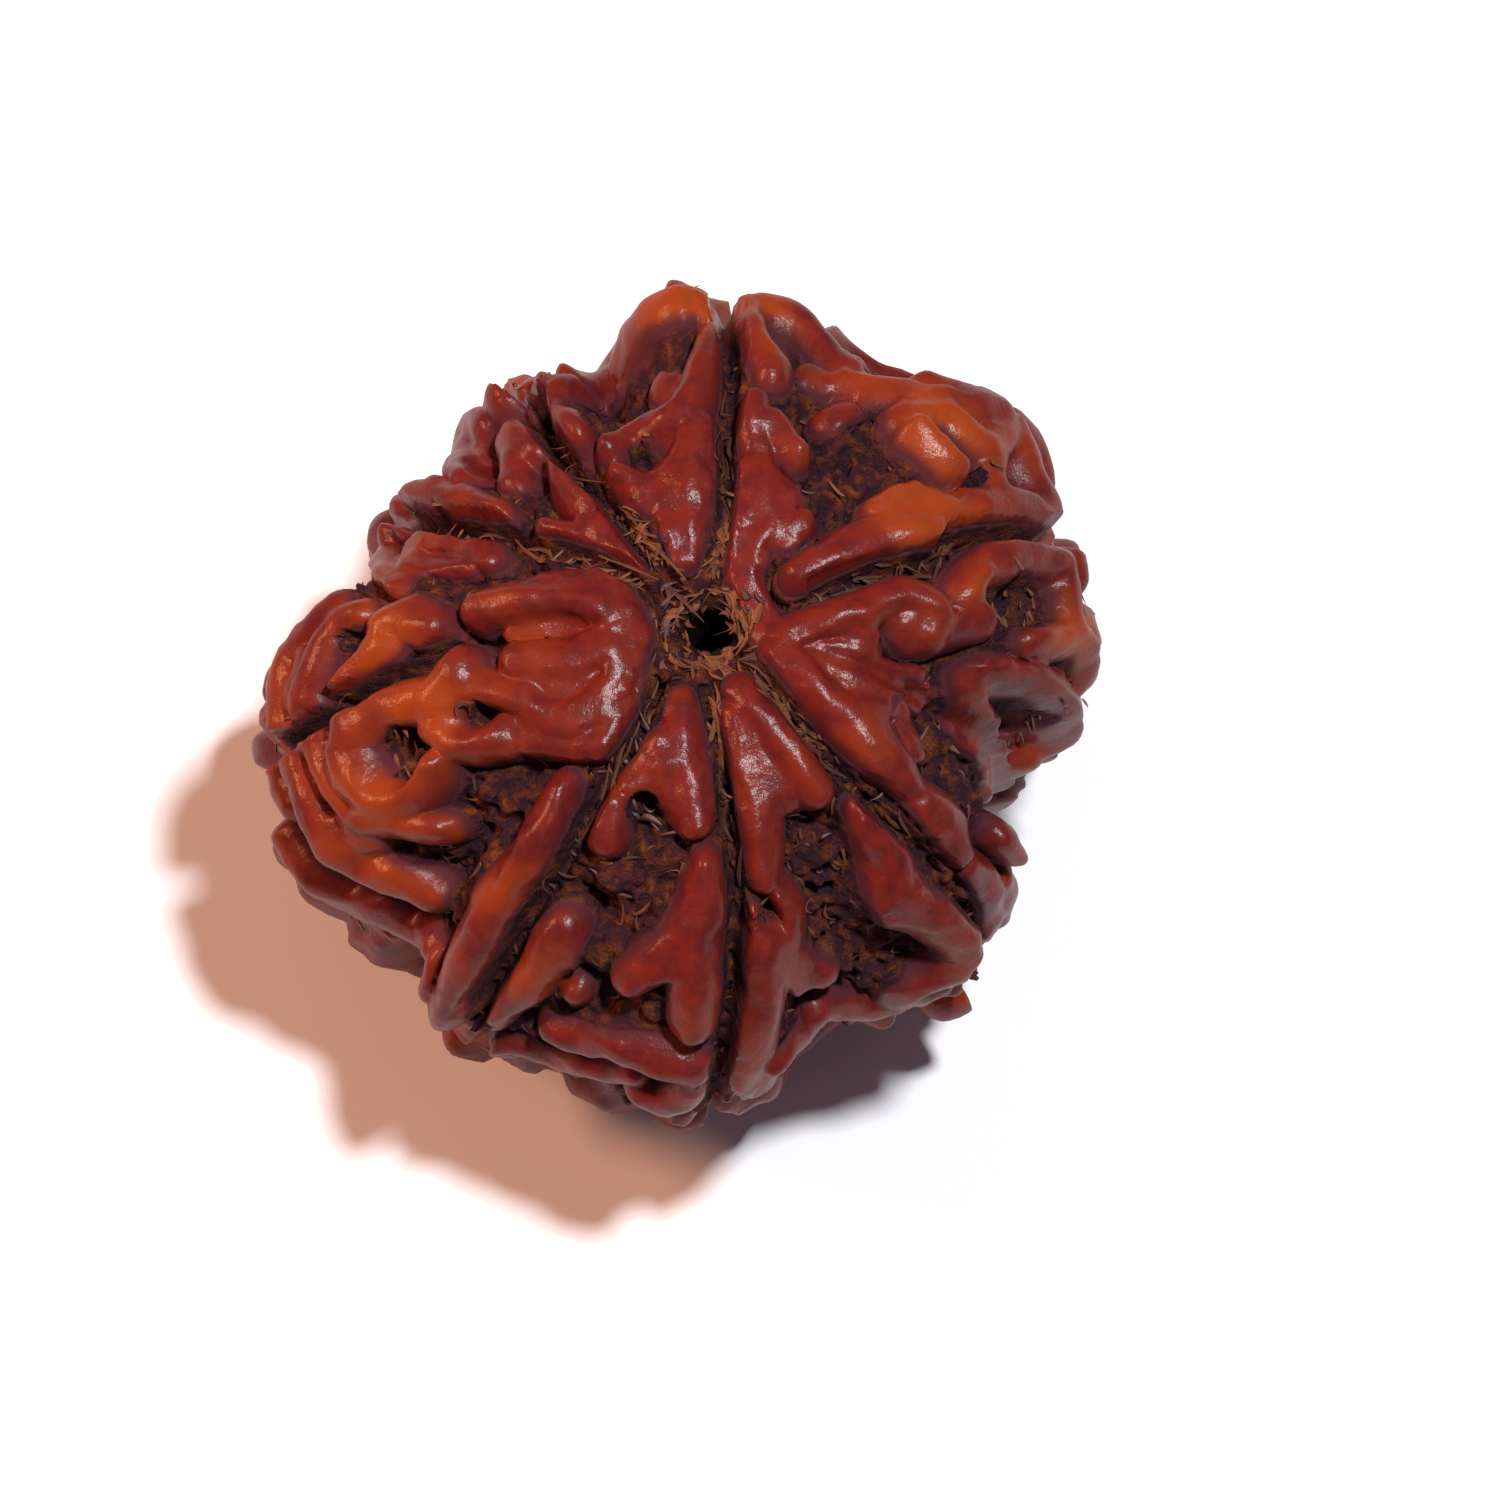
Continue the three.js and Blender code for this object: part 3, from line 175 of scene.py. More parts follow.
# Ridges of the visible side: height of the crest over the envelope, then the path with half widths
RIDGES = {
    # The lobe behind the hole.
    "north_crown": (0.1, [(-2.75, 8.8, 0.3), (-2.2, 9.45, 0.4), (-1.6, 9.9, 0.5), (-0.9, 10.05, 0.5),
        (-0.3, 10, 0.4), (0.1, 9.6, 0.2)]),
    "north_crown_tail": (-0.1, [(-4.3, 7.95, 0.3), (-3.6, 8.25, 0.38), (-3, 8.6, 0.38),
        (-2.6, 8.9, 0.33)]),
    "north_stem": (0, [(0.05, 9.1, 0.12), (-0.05, 8.6, 0.12), (-0.25, 8, 0.25), (-0.5, 7.3, 0.42),
        (-0.9, 6.8, 0.42), (-1.5, 6.4, 0.32), (-2.3, 6.05, 0.2), (-3.15, 5.75, 0.2)]),
    "north_blade": (-0.2, [(-0.75, 2.2, 0.1), (-0.8, 3, 0.4), (-0.95, 3.9, 0.75), (-0.9, 4.8, 0.95),
        (-0.6, 5.6, 0.8), (-0.5, 6.4, 0.6)]),
    "north_blade_wing": (-0.25, [(-1.4, 4.4, 0.75), (-2.1, 4.55, 0.55), (-2.9, 5, 0.2)]),
    "north_lump": (-0.7, [(-1.5, 8, 0.3), (-1.2, 7.8, 0.25)]),
    # The lobes to the left of it.
    "northwest_hook": (-0.05, [(-5.15, 7.2, 0.25), (-5.05, 6.75, 0.35), (-4.7, 6.35, 0.38),
        (-4.15, 6.1, 0.25)]),
    "northwest_knob": (0.4, [(-6.3, 7.1, 0.5)]),
    "northwest_sill": (-0.15, [(-5.5, 7.4, 0.25), (-4.8, 7.55, 0.2), (-4.2, 7.65, 0.2)]),
    "northwest_block": (-0.1, [(-6.3, 6, 0.45), (-6.2, 5.3, 0.45), (-6.1, 4.7, 0.35)]),
    "northwest_block_arm": (-0.15, [(-6, 5.95, 0.35), (-5.7, 5.6, 0.3)]),
    "northwest_rim": (0, [(-7.1, 6.3, 0.28), (-7.55, 6.25, 0.32), (-7.8, 5.8, 0.3), (-7.75, 5.2, 0.28),
        (-7.6, 4.7, 0.25)]),
    "northwest_rim_inner": (-0.3, [(-7.4, 5.9, 0.25), (-7.45, 5.2, 0.22), (-7.3, 4.7, 0.2)]),
    "northwest_blade": (-0.2, [(-4.9, 5.2, 0.15), (-4.5, 4.6, 0.35), (-4, 4, 0.55), (-3.4, 3.35, 0.6),
        (-2.8, 2.75, 0.4), (-2.3, 2.25, 0.15)]),
    "northwest_blade_foot": (-0.3, [(-3.7, 3.1, 0.4), (-4.5, 3.15, 0.3), (-5.2, 3.3, 0.15)]),
    "west_arch_outer": (0, [(-9.7, 3.5, 0.45), (-9.3, 4, 0.5), (-8.6, 4.1, 0.5), (-7.9, 3.9, 0.42),
        (-7.2, 3.7, 0.38), (-6.7, 3.6, 0.3)]),
    "west_arch_inner": (-0.1, [(-9.3, 1.9, 0.3), (-9.25, 2.5, 0.35), (-8.7, 2.8, 0.38), (-8, 2.8, 0.38),
        (-7.4, 2.6, 0.35), (-6.9, 2.2, 0.2)]),
    "west_arch_floor": (-0.35, [(-8.9, 2.1, 0.35), (-8.2, 2.1, 0.35), (-7.6, 2.1, 0.25)]),
    "west_edge_knob": (-0.1, [(-10.2, 2.3, 0.28), (-10, 1.8, 0.3), (-9.8, 1.4, 0.25)]),
    "west_edge_bead": (0, [(-10.1, 2.9, 0.22)]),
    # The wide lobe that carries the raised spur.
    "west_lobe_upper": (0, [(-7.3, 0.5, 0.35), (-6.4, 0.9, 0.5), (-5.3, 1.1, 0.65), (-4.2, 1.1, 0.72),
        (-3.3, 0.85, 0.72), (-2.8, 0.3, 0.55)]),
    "west_lobe_crest": (0.12, [(-7.2, 0.6, 0.25), (-6.2, 0.85, 0.25), (-5, 0.95, 0.25), (-4, 0.85, 0.25),
        (-3.3, 0.6, 0.25)]),
    "west_lobe_slot": (-0.6, [(-6, 0, 0.3), (-5, 0.1, 0.3), (-4.2, 0.1, 0.3)]),
    "west_lobe_lower": (0, [(-2.4, -0.2, 0.4), (-3.2, -0.6, 0.5), (-4.2, -0.95, 0.5), (-5.2, -1, 0.5),
        (-6, -1.1, 0.4)]),
    "spur_root_ring": (0.05, [(-2.7, -0.9, 0.45), (-2.9, -1.7, 0.5), (-3.4, -2.5, 0.5),
        (-4.3, -2.95, 0.45), (-5.2, -2.75, 0.42), (-5.8, -2.2, 0.4), (-6.6, -1.95, 0.35),
        (-7.4, -1.8, 0.4)]),
    "spur_root_floor": (-0.3, [(-3.8, -1.5, 0.6), (-4.6, -1.8, 0.8), (-5.4, -1.5, 0.6)]),
    "spur_root_apron": (-0.15, [(-2.9, -2.5, 0.45), (-3.4, -3.4, 0.5), (-4.2, -3.6, 0.45),
        (-5, -3.5, 0.4), (-5.8, -3.25, 0.4), (-6.4, -3.2, 0.35)]),
    "spur_crown": (0.2, [(-7.7, -1.2, 0.45), (-7.9, -1.75, 0.7), (-8.4, -2.2, 0.6)]),
    "spur_shoulder": (0.1, [(-8.4, -2.1, 0.55), (-9.3, -2.25, 0.5), (-10.3, -2.5, 0.55),
        (-11, -3.1, 0.65)]),
    "spur_bend": (0.2, [(-11, -3.1, 0.6), (-11.25, -3.8, 0.7), (-11, -4.6, 0.7), (-10.4, -5.2, 0.55),
        (-9.6, -5.5, 0.45), (-8.95, -5.2, 0.35), (-8.6, -4.7, 0.3), (-8.45, -4.2, 0.2)]),
    "spur_flank": (-0.1, [(-12.2, -3.4, 0.35), (-12, -4.3, 0.35), (-11.4, -5.2, 0.4),
        (-10.9, -5.8, 0.4)]),
    "spur_web": (-0.1, [(-12.1, -3.9, 0.3), (-11.7, -4.9, 0.25), (-11.1, -5.9, 0.3),
        (-10.7, -6.7, 0.35)]),
    "spur_tip": (0.05, [(-10.6, -5.9, 0.45), (-9.7, -6, 0.4), (-8.9, -6.2, 0.35), (-8.15, -6.3, 0.22)]),
    "spur_saddle": (0, [(-8.3, -2.3, 0.5), (-8.4, -3.1, 0.45), (-8, -3.6, 0.4), (-7.3, -3.7, 0.35),
        (-6.5, -3.5, 0.4)]),
    "tab": (0.05, [(-10, 0.2, 0.5), (-9.3, 0.3, 0.6), (-8.75, 0.1, 0.5)]),
    "tab_tail": (0, [(-10.1, -0.4, 0.45), (-10.7, -1, 0.4), (-11.4, -1.8, 0.28)]),
    "far_west_inner": (0, [(-10.9, 0.5, 0.2), (-11.5, 0.2, 0.3), (-12, -0.5, 0.33), (-12.3, -1.3, 0.35),
        (-12.6, -2.1, 0.38), (-12.5, -2.6, 0.35)]),
    "far_west_outer": (0, [(-11.6, 0.7, 0.25), (-12.2, 0.1, 0.25), (-13, -0.7, 0.3), (-13.3, -1.7, 0.3),
        (-13.3, -2.7, 0.3), (-13.3, -3.3, 0.3)]),
    "far_west_web": (-0.25, [(-12.6, -0.8, 0.3), (-12.9, -1.6, 0.35), (-13, -2.2, 0.3)]),
    "shelf_root": (0, [(-13.3, -3.4, 0.3), (-12.6, -3.4, 0.32), (-12.2, -3.3, 0.3)]),
    "shelf": (0.05, [(-13, -3.7, 0.3), (-12.75, -4.5, 0.38), (-12.4, -5.4, 0.42), (-12, -6.3, 0.5),
        (-11.4, -7, 0.6), (-10.6, -7.5, 0.6), (-9.7, -7.9, 0.5), (-8.7, -8.3, 0.42)]),
    "shelf_knob": (-0.1, [(-11.7, -6.1, 0.35), (-11.5, -6.6, 0.35)]),
    "shelf_side": (-0.1, [(-13.5, -4.2, 0.35), (-13.4, -4.9, 0.35), (-13.1, -5.5, 0.3)]),
    "apron_knob": (-0.1, [(-13.2, -6.5, 0.3), (-12.9, -7.1, 0.3)]),
    "apron": (-0.1, [(-12.8, -7.2, 0.4), (-12.2, -8, 0.45), (-11.3, -8.5, 0.42), (-10.2, -8.85, 0.42),
        (-9.4, -9.35, 0.38), (-8.8, -9.8, 0.3)]),
    # The lobes in front of the hole.
    "southwest_bar": (0.05, [(-4.6, -4.95, 0.22), (-4.95, -5.8, 0.32), (-5.5, -6.8, 0.42),
        (-6.15, -7.8, 0.48), (-6.8, -8.8, 0.55), (-7.25, -9.8, 0.65), (-7.65, -10.8, 0.62),
        (-8, -11.6, 0.45), (-8.2, -12.1, 0.35)]),
    "southwest_fold": (-0.2, [(-8.7, -10.3, 0.2), (-8.8, -11.2, 0.25)]),
    "southwest_pad": (-0.05, [(-4.5, -9.4, 0.4), (-4.9, -9.9, 0.6), (-5.2, -10.5, 0.65),
        (-5.6, -11.1, 0.45)]),
    "southwest_toe": (-0.1, [(-5.9, -11.4, 0.35), (-6.5, -11.9, 0.4), (-6.95, -12.2, 0.3)]),
    "southwest_sole": (-0.15, [(-6.9, -12.95, 0.3), (-6, -13.1, 0.3), (-5.3, -13.2, 0.25)]),
    "southwest_welt": (-0.3, [(-6.9, -13.2, 0.2), (-6.1, -13.3, 0.2)]),
    "southwest_bead": (-0.3, [(-4.3, -11.5, 0.28)]),
    "south_skirt": (0, [(-4.9, -12.5, 0.3), (-4.1, -12.8, 0.45), (-3.1, -13, 0.45), (-2.2, -13.3, 0.5),
        (-1.2, -13.6, 0.5), (-0.4, -13.7, 0.4)]),
    "south_hem": (-0.15, [(-5.2, -13.3, 0.3), (-4.2, -13.6, 0.35), (-3.2, -13.8, 0.35),
        (-2.4, -13.9, 0.35)]),
    "south_drop": (0, [(-2.1, -14.5, 0.5), (-1.5, -14.75, 0.65), (-0.95, -14.6, 0.55),
        (-0.6, -14.3, 0.4)]),
    "south_fork": (0.1, [(-0.1, -7.25, 0.12), (-0.1, -8, 0.45), (-0.15, -8.8, 0.65), (-0.5, -9.7, 0.72),
        (-0.5, -10.6, 0.68), (-0.35, -11.5, 0.68), (-0.4, -12.3, 0.6)]),
    "south_fork_arm": (0, [(-0.9, -10.1, 0.6), (-1.7, -10.5, 0.5), (-2.5, -11, 0.3)]),
    "south_left_blade": (-0.2, [(-0.85, -2.2, 0.1), (-0.85, -3, 0.35), (-1.05, -3.9, 0.7),
        (-0.95, -4.8, 0.85), (-0.6, -5.6, 0.6), (-0.45, -6.1, 0.35)]),
    "south_left_wing": (-0.25, [(-1.5, -4.2, 0.7), (-2, -4.6, 0.5), (-2.5, -5, 0.2)]),
    "south_left_seed": (0, [(-2.95, -5.4, 0.12), (-3.15, -6, 0.3), (-3.2, -6.6, 0.4)]),
    "south_right_rim": (0.05, [(0.95, -1.9, 0.2), (1.5, -2.6, 0.32), (2.1, -3.4, 0.4), (2.75, -4.3, 0.45),
        (3.3, -5.1, 0.35)]),
    "south_right_blade": (-0.15, [(0.9, -2.6, 0.25), (1.1, -3.5, 0.4), (1.4, -4.4, 0.6),
        (1.6, -5.3, 0.55), (1.7, -6.2, 0.42), (1.8, -7.1, 0.38), (1.85, -7.9, 0.3)]),
    "south_right_fill": (-0.15, [(1.4, -3, 0.3), (1.9, -4, 0.7), (2.4, -4.9, 0.75)]),
    "south_right_curl": (-0.05, [(2.2, -8.3, 0.2), (2.55, -8.9, 0.25), (2.5, -9.5, 0.35),
        (2, -9.9, 0.5)]),
    "south_right_curl_back": (-0.1, [(1.2, -9, 0.15), (1.3, -9.5, 0.25), (1.6, -9.8, 0.35)]),
    "south_right_run": (0.05, [(1.9, -9.9, 0.6), (1.9, -10.7, 0.72), (1.75, -11.6, 0.7),
        (1.5, -12.5, 0.6), (1.25, -13.4, 0.6), (1.05, -14.2, 0.55)]),
    "south_right_spur": (-0.1, [(2.4, -10.4, 0.5), (2.9, -11, 0.42), (3.5, -10.9, 0.3)]),
    "south_right_run_rim": (-0.05, [(1.5, -14.2, 0.4), (2, -13.6, 0.3), (2.6, -13, 0.3),
        (3.1, -12.5, 0.28), (3.3, -12, 0.25)]),
    "southeast_bar": (0, [(4.65, -5.65, 0.15), (5.1, -6.4, 0.35), (5.6, -7.2, 0.58), (5.8, -8.1, 0.65),
        (6.3, -8.9, 0.72), (7.1, -9.2, 0.7), (7.8, -9.7, 0.58), (8, -10.2, 0.42), (7.3, -10.8, 0.4),
        (6.4, -11.2, 0.38)]),
    "southeast_hem": (-0.15, [(3.4, -12, 0.28), (4.2, -11.95, 0.28), (5, -12, 0.35), (5.7, -11.8, 0.35),
        (5.9, -11.4, 0.25)]),
    "southeast_edge": (-0.15, [(6.2, -11.5, 0.25), (6.7, -11.5, 0.25), (7.2, -11.3, 0.2)]),
    "southeast_outer": (-0.1, [(8.1, -7.4, 0.25), (8.6, -7.9, 0.28), (8.9, -8.6, 0.28),
        (8.8, -9.3, 0.25)]),
    "southeast_outer_edge": (-0.1, [(9.2, -7.9, 0.25), (9.35, -8.4, 0.25), (9.2, -9, 0.22)]),
    "southeast_spike": (0.35, [(8.8, -6.4, 0.2), (9.3, -6.95, 0.15)]),
    # The lobe to the right of the hole.
    "hole_lip": (-0.2, [(1.5, 5, 0.4), (1.55, 4.2, 0.5), (1.6, 3.4, 0.55), (1.25, 2.6, 0.42),
        (1.05, 1.8, 0.3), (1.25, 1.2, 0.25), (1.5, 0.6, 0.25), (1.8, -0.1, 0.28), (2.3, -0.7, 0.3)]),
    "hole_lip_spur": (-0.3, [(1.9, 4.6, 0.6), (2.1, 3.8, 0.7), (2.3, 3.2, 0.5), (2.9, 3.4, 0.25)]),
    "east_long_rim": (0.05, [(2.2, -0.6, 0.28), (2.9, -1.4, 0.35), (3.6, -2.2, 0.42), (4.4, -2.9, 0.58),
        (5.1, -3.6, 0.62), (5.75, -4.3, 0.5), (6.2, -4.85, 0.3)]),
    "east_long_knuckle": (0.1, [(6.6, -5.3, 0.3), (7.1, -5.8, 0.5), (7.5, -6.4, 0.52),
        (7.75, -6.9, 0.35)]),
    "east_plateau": (-0.2, [(3.2, -0.8, 0.65), (4.1, -1, 0.85), (4.7, -1.8, 0.8), (5, -2.7, 0.65)]),
    "east_plateau_back": (-0.2, [(4.6, 0, 0.5), (4.8, -0.8, 0.42)]),
    "east_spur": (-0.25, [(5, -1.5, 0.5), (5.8, -1.55, 0.3), (6.5, -1.5, 0.12)]),
    "east_upper_rim": (0, [(2.2, -0.3, 0.3), (3, 0, 0.3), (3.8, 0.25, 0.35), (4.6, 0.5, 0.38)]),
    "east_curl": (0.05, [(4.7, 0.45, 0.38), (5.3, 0.8, 0.33), (6.1, 1.05, 0.38), (6.8, 0.8, 0.42),
        (7.1, 0.2, 0.42), (6.9, -0.2, 0.38)]),
    "east_curl_core": (-0.15, [(6.3, 0.2, 0.6), (6.5, -0.1, 0.5)]),
    "east_curl_arm": (-0.2, [(7.3, 0.1, 0.42), (8, 0.15, 0.35), (8.5, 0.3, 0.3)]),
    "east_ring_knob": (0.1, [(8, 1.2, 0.42), (8.3, 1.7, 0.35)]),
    "east_ring": (0, [(7.9, 1, 0.35), (8.5, 1.9, 0.38), (9.3, 2.3, 0.42), (10.2, 2.3, 0.38),
        (10.9, 2, 0.33), (11.15, 1.3, 0.3), (11.2, 0.5, 0.28), (11.3, -0.1, 0.3)]),
    "east_ring_foot": (0.05, [(11.2, -0.3, 0.4), (10.7, -0.5, 0.42), (10.2, -0.5, 0.4),
        (9.95, -0.5, 0.25)]),
    "east_ring_left": (-0.15, [(8.1, 0.9, 0.3), (8.6, 0.3, 0.3)]),
    "east_rim_edge": (-0.05, [(11.35, 2.1, 0.25), (11.45, 1.5, 0.25)]),
    "east_outer": (0, [(11.5, -0.4, 0.33), (11.8, -1, 0.33), (11.7, -1.6, 0.35)]),
    "east_arch": (0, [(8.4, -1.5, 0.5), (9.3, -1.6, 0.55), (10.1, -1.6, 0.5), (10.8, -2, 0.48),
        (11.2, -2.6, 0.4), (11.2, -3.1, 0.35), (10.9, -3.6, 0.3), (10.2, -4, 0.25), (9.5, -4.4, 0.25)]),
    "east_arch_leg": (-0.05, [(8.3, -1.7, 0.5), (8.2, -2.5, 0.55), (8.4, -3.3, 0.55), (8.7, -4.1, 0.42),
        (9, -4.9, 0.3)]),
    "east_sliver": (-0.5, [(6.1, -2.7, 0.2), (6.3, -3.3, 0.2), (6.6, -3.9, 0.15)]),
    "east_patch": (-0.6, [(6.7, -2.1, 0.35)]),
    # The lobe behind it, on the right.
    "northeast_limb": (0, [(2.7, 1.6, 0.2), (3.5, 1.95, 0.42), (4.4, 2.4, 0.6), (5.4, 2.9, 0.62),
        (6.3, 3.15, 0.7), (7.2, 3.5, 0.68), (8.2, 3.75, 0.6)]),
    "northeast_limb_crest": (0.12, [(5.6, 3, 0.35), (6.2, 2.9, 0.4), (6.9, 2.95, 0.4)]),
    "northeast_limb_back": (-0.15, [(5.4, 3.7, 0.3), (6.2, 4, 0.35), (7, 3.9, 0.3)]),
    "northeast_shoulder": (0, [(8.4, 3.75, 0.6), (9.2, 3.9, 0.6), (10, 3.75, 0.5), (10.5, 3.2, 0.4)]),
    "northeast_pillar": (0, [(8.8, 4.5, 0.35), (8.8, 5.2, 0.5), (8.9, 5.9, 0.6), (9.2, 6.2, 0.5)]),
    "northeast_edge": (0, [(9.5, 6.2, 0.35), (9.8, 5.6, 0.33), (10.05, 4.9, 0.35), (10.35, 4.2, 0.4),
        (10.6, 3.5, 0.4)]),
    "northeast_knuckle": (0.15, [(6.35, 6.1, 0.25), (6.85, 5.65, 0.32), (7.35, 5.15, 0.28),
        (7.6, 4.9, 0.2)]),
    "northeast_second": (0.05, [(7.3, 6.6, 0.3), (7.9, 6.1, 0.35), (8.5, 5.6, 0.38)]),
    "northeast_collar": (0, [(6.1, 6.6, 0.35), (6.8, 6.65, 0.3), (7.2, 6.8, 0.3)]),
    "northeast_top": (0, [(4.2, 7.7, 0.3), (4.9, 7.45, 0.45), (5.8, 7.35, 0.45), (6.6, 7.2, 0.4),
        (7.5, 7, 0.35), (8.5, 6.75, 0.38), (9.1, 6.5, 0.35)]),
    "northeast_top_edge": (-0.05, [(6.6, 7.65, 0.25), (7.3, 7.4, 0.25), (8.2, 7.1, 0.25),
        (9, 6.85, 0.25)]),
    "northeast_tongue": (-0.3, [(4.3, 7, 0.3), (3.8, 6.7, 0.25)]),
    "north_right_outer": (0, [(1.3, 10.05, 0.35), (2.1, 10, 0.45), (2.9, 9.6, 0.42), (3.4, 9, 0.38),
        (3.9, 8.4, 0.35), (4.3, 8, 0.3)]),
    "north_right_inner": (0.1, [(1.05, 9.85, 0.3), (1.3, 9.2, 0.32), (1.6, 8.5, 0.38), (2, 8.1, 0.38),
        (1.95, 7.8, 0.3)]),
    "north_right_patch": (-0.3, [(3.2, 8, 0.35), (3.8, 7.8, 0.3)]),
    "north_right_arc": (0, [(1.4, 7, 0.25), (1.4, 6.4, 0.38), (2, 6.35, 0.38), (2.4, 5.85, 0.32),
        (2.7, 5.45, 0.2)]),
    "north_right_arc_foot": (-0.25, [(1.4, 6.2, 0.35), (1.6, 5.7, 0.35)]),
}

MIDDLE = np.array([CHANNEL_X, CHANNEL_Y, WAIST_HEIGHT])
MOUTH = np.array([CHANNEL_X, CHANNEL_Y, MOUTH_HEIGHT])


def smooth_step(low, high, value):
    t = np.clip((value - low) / (high - low), 0, 1)
    return t * t * (3 - 2 * t)


def unit(vectors):
    return vectors / np.linalg.norm(vectors, axis=-1, keepdims=True)


def lobe_radius(angle):
    """Radius of the lobed outline at a compass angle, eased from one listed angle to the next."""
    first = LOBES[0][0]
    degrees = (np.degrees(angle) - first) % 360 + first
    angles = np.array([lobe[0] for lobe in LOBES] + [first + 360], float)
    radii = np.array([lobe[1] for lobe in LOBES] + [LOBES[0][1]])
    before = np.clip(np.searchsorted(angles, degrees, side="right") - 1, 0, len(LOBES) - 1)
    ease = smooth_step(angles[before], angles[before + 1], degrees)
    return radii[before] + (radii[before + 1] - radii[before]) * ease


def envelope_reach(direction):
    """Distance from the middle to the smooth envelope that the ridge crests touch."""
    flat = np.hypot(direction[..., 0], direction[..., 1])
    radius = lobe_radius(np.arctan2(direction[..., 1], direction[..., 0]))
    rise = np.where(direction[..., 2] > 0, CROWN_RISE, FOOT_DROP)
    total = (flat / radius) ** FULLNESS + (np.abs(direction[..., 2]) / rise) ** FULLNESS
    reach = total ** (-1 / FULLNESS)
    dent = DENT_DEPTH * np.exp(-((reach * flat / DENT_RADIUS) ** 2))
    return reach - np.where(direction[..., 2] > 0, dent, 0)


def envelope_point(direction):
    return MIDDLE + direction * envelope_reach(direction)[..., None]


def cast_on_envelope(seen):
    """Envelope points behind places in the photo.

    A place just outside the outline goes to the nearest edge.
    """
    seen = np.asarray(seen, float)
    start = MOUTH + seen[:, :1] * SEEN_RIGHT + seen[:, 1:2] * SEEN_UP - MIDDLE

    def excess(t):
        offset = start + t[:, None] * TO_VIEWER
        return np.linalg.norm(offset, axis=1) / envelope_reach(unit(offset))

    steps = np.arange(SIGHT_NEAR, SIGHT_FAR, -SIGHT_STEP)
    table = np.array([excess(np.full(len(seen), step)) for step in steps])
    best = steps[np.argmin(table, axis=0)]
    outside = np.full(len(seen), SIGHT_OUTSIDE)
    inside = best.copy()
    for _ in range(SIGHT_HALVINGS):
        half = (outside + inside) / 2
        over = excess(half) > 1
        outside = np.where(over, half, outside)
        inside = np.where(over, inside, half)
    hit = MIDDLE + start + inside[:, None] * TO_VIEWER
    edge = envelope_point(unit(start + best[:, None] * TO_VIEWER))
    return np.where((table.min(axis=0) >= 1)[:, None], edge, hit)


def suture_points(seen):
    """A suture goes on from its last seen place down the side, close to the foot."""
    points = cast_on_envelope(seen)
    last = points[-1] - MIDDLE
    angle = math.atan2(last[1], last[0])
    lift = math.atan2(last[2], math.hypot(last[0], last[1]))
    steps = np.arange(1, SUTURE_STEPS + 1)
    lower = lift + (SUTURE_END_LIFT - lift) * steps / SUTURE_STEPS
    turn = angle + SUTURE_SWAY * np.sin(SUTURE_SWAY_TURN * steps)
    ways = np.stack([np.cos(turn) * np.cos(lower), np.sin(turn) * np.cos(lower), np.sin(lower)], axis=1)
    return np.vstack([points, envelope_point(ways)])


def path_pieces(points, widths):
    """Straight pieces of a path on the envelope, each with a half width at both ends."""
    pieces = []
    for i in range(max(1, len(points) - 1)):
        j = min(i + 1, len(points) - 1)
        pieces.append((points[i], points[j] - points[i], widths[i], widths[j] - widths[i]))
    return pieces


def near_piece(points, piece):
    """Distance from each point to a piece, and the piece's half width beside it."""
    start, span, width, growth = piece
    offset = points - start
    square = span @ span
    share = np.clip(offset @ span / square, 0, 1) if square > 0 else np.zeros(len(points))
    return np.linalg.norm(offset - share[:, None] * span, axis=1), width + growth * share


def points_round(points, pieces, margin):
    """Which points lie in a box round the pieces."""
    ends = np.array([piece[0] for piece in pieces] + [piece[0] + piece[1] for piece in pieces])
    low = ends.min(axis=0) - margin
    high = ends.max(axis=0) + margin
    return np.flatnonzero(np.all((points > low) & (points < high), axis=1))


ridge_parts = []
for crest_level, path in RIDGES.values():
    crest_points = cast_on_envelope([place[:2] for place in path])
    ridge_parts.append((crest_level, path_pieces(crest_points, [place[2] for place in path])))
suture_parts = []
for suture in SUTURES:
    suture_line = suture_points(suture)
    suture_parts.append(path_pieces(suture_line, [SUTURE_HALF_WIDTH] * len(suture_line)))
pit_centres = cast_on_envelope([pit[:2] for pit in PITS])


DRAW_FACTOR = 16807
DRAW_MODULUS = 2147483647
WAVE_SPACING_LEAST = 0.85
WAVE_SPACING_SPREAD = 0.3


def seeded_draws(seed):
    state = seed
    while True:
        state = state * DRAW_FACTOR % DRAW_MODULUS
        yield state / DRAW_MODULUS


def wave_field(seed, spacing, count):
    """Sum of waves in all directions: an even, irregular field of about unit size."""
    draw = seeded_draws(seed)
    waves = []
    for _ in range(count):
        tilt = 2 * next(draw) - 1
        turn = 2 * math.pi * next(draw)
        level = math.sqrt(1 - tilt * tilt)
        push = 2 * math.pi / (spacing * (WAVE_SPACING_LEAST + WAVE_SPACING_SPREAD * next(draw)))
        way = np.array([level * math.cos(turn), level * math.sin(turn), tilt]) * push
        waves.append((way, 2 * math.pi * next(draw)))

    def field(points):
        total = np.zeros(len(points))
        for way, phase in waves:
            total += np.cos(points @ way + phase)
        return total * math.sqrt(2 / count)

    return field


WIDEST_RIDGE = max(place[2] for _, path in RIDGES.values() for place in path)
RIDGE_MARGIN = RIDGE_FOOT + (1 + EDGE_WIDENING) * WIDEST_RIDGE
SUTURE_MARGIN = 3.0
FAR_AWAY = 100.0
# Seed, spacing in millimetres and number of waves
hidden_field = wave_field(4271, HIDDEN_RIDGE_SPACING, 28)
floor_field = wave_field(915, 1.9, 24)
grain_field = wave_field(77, 0.75, 20)
grit_field = wave_field(78, 0.42, 20)
swell_field = wave_field(31, 2.2, 20)
ripple_field = wave_field(32, 1.0, 20)


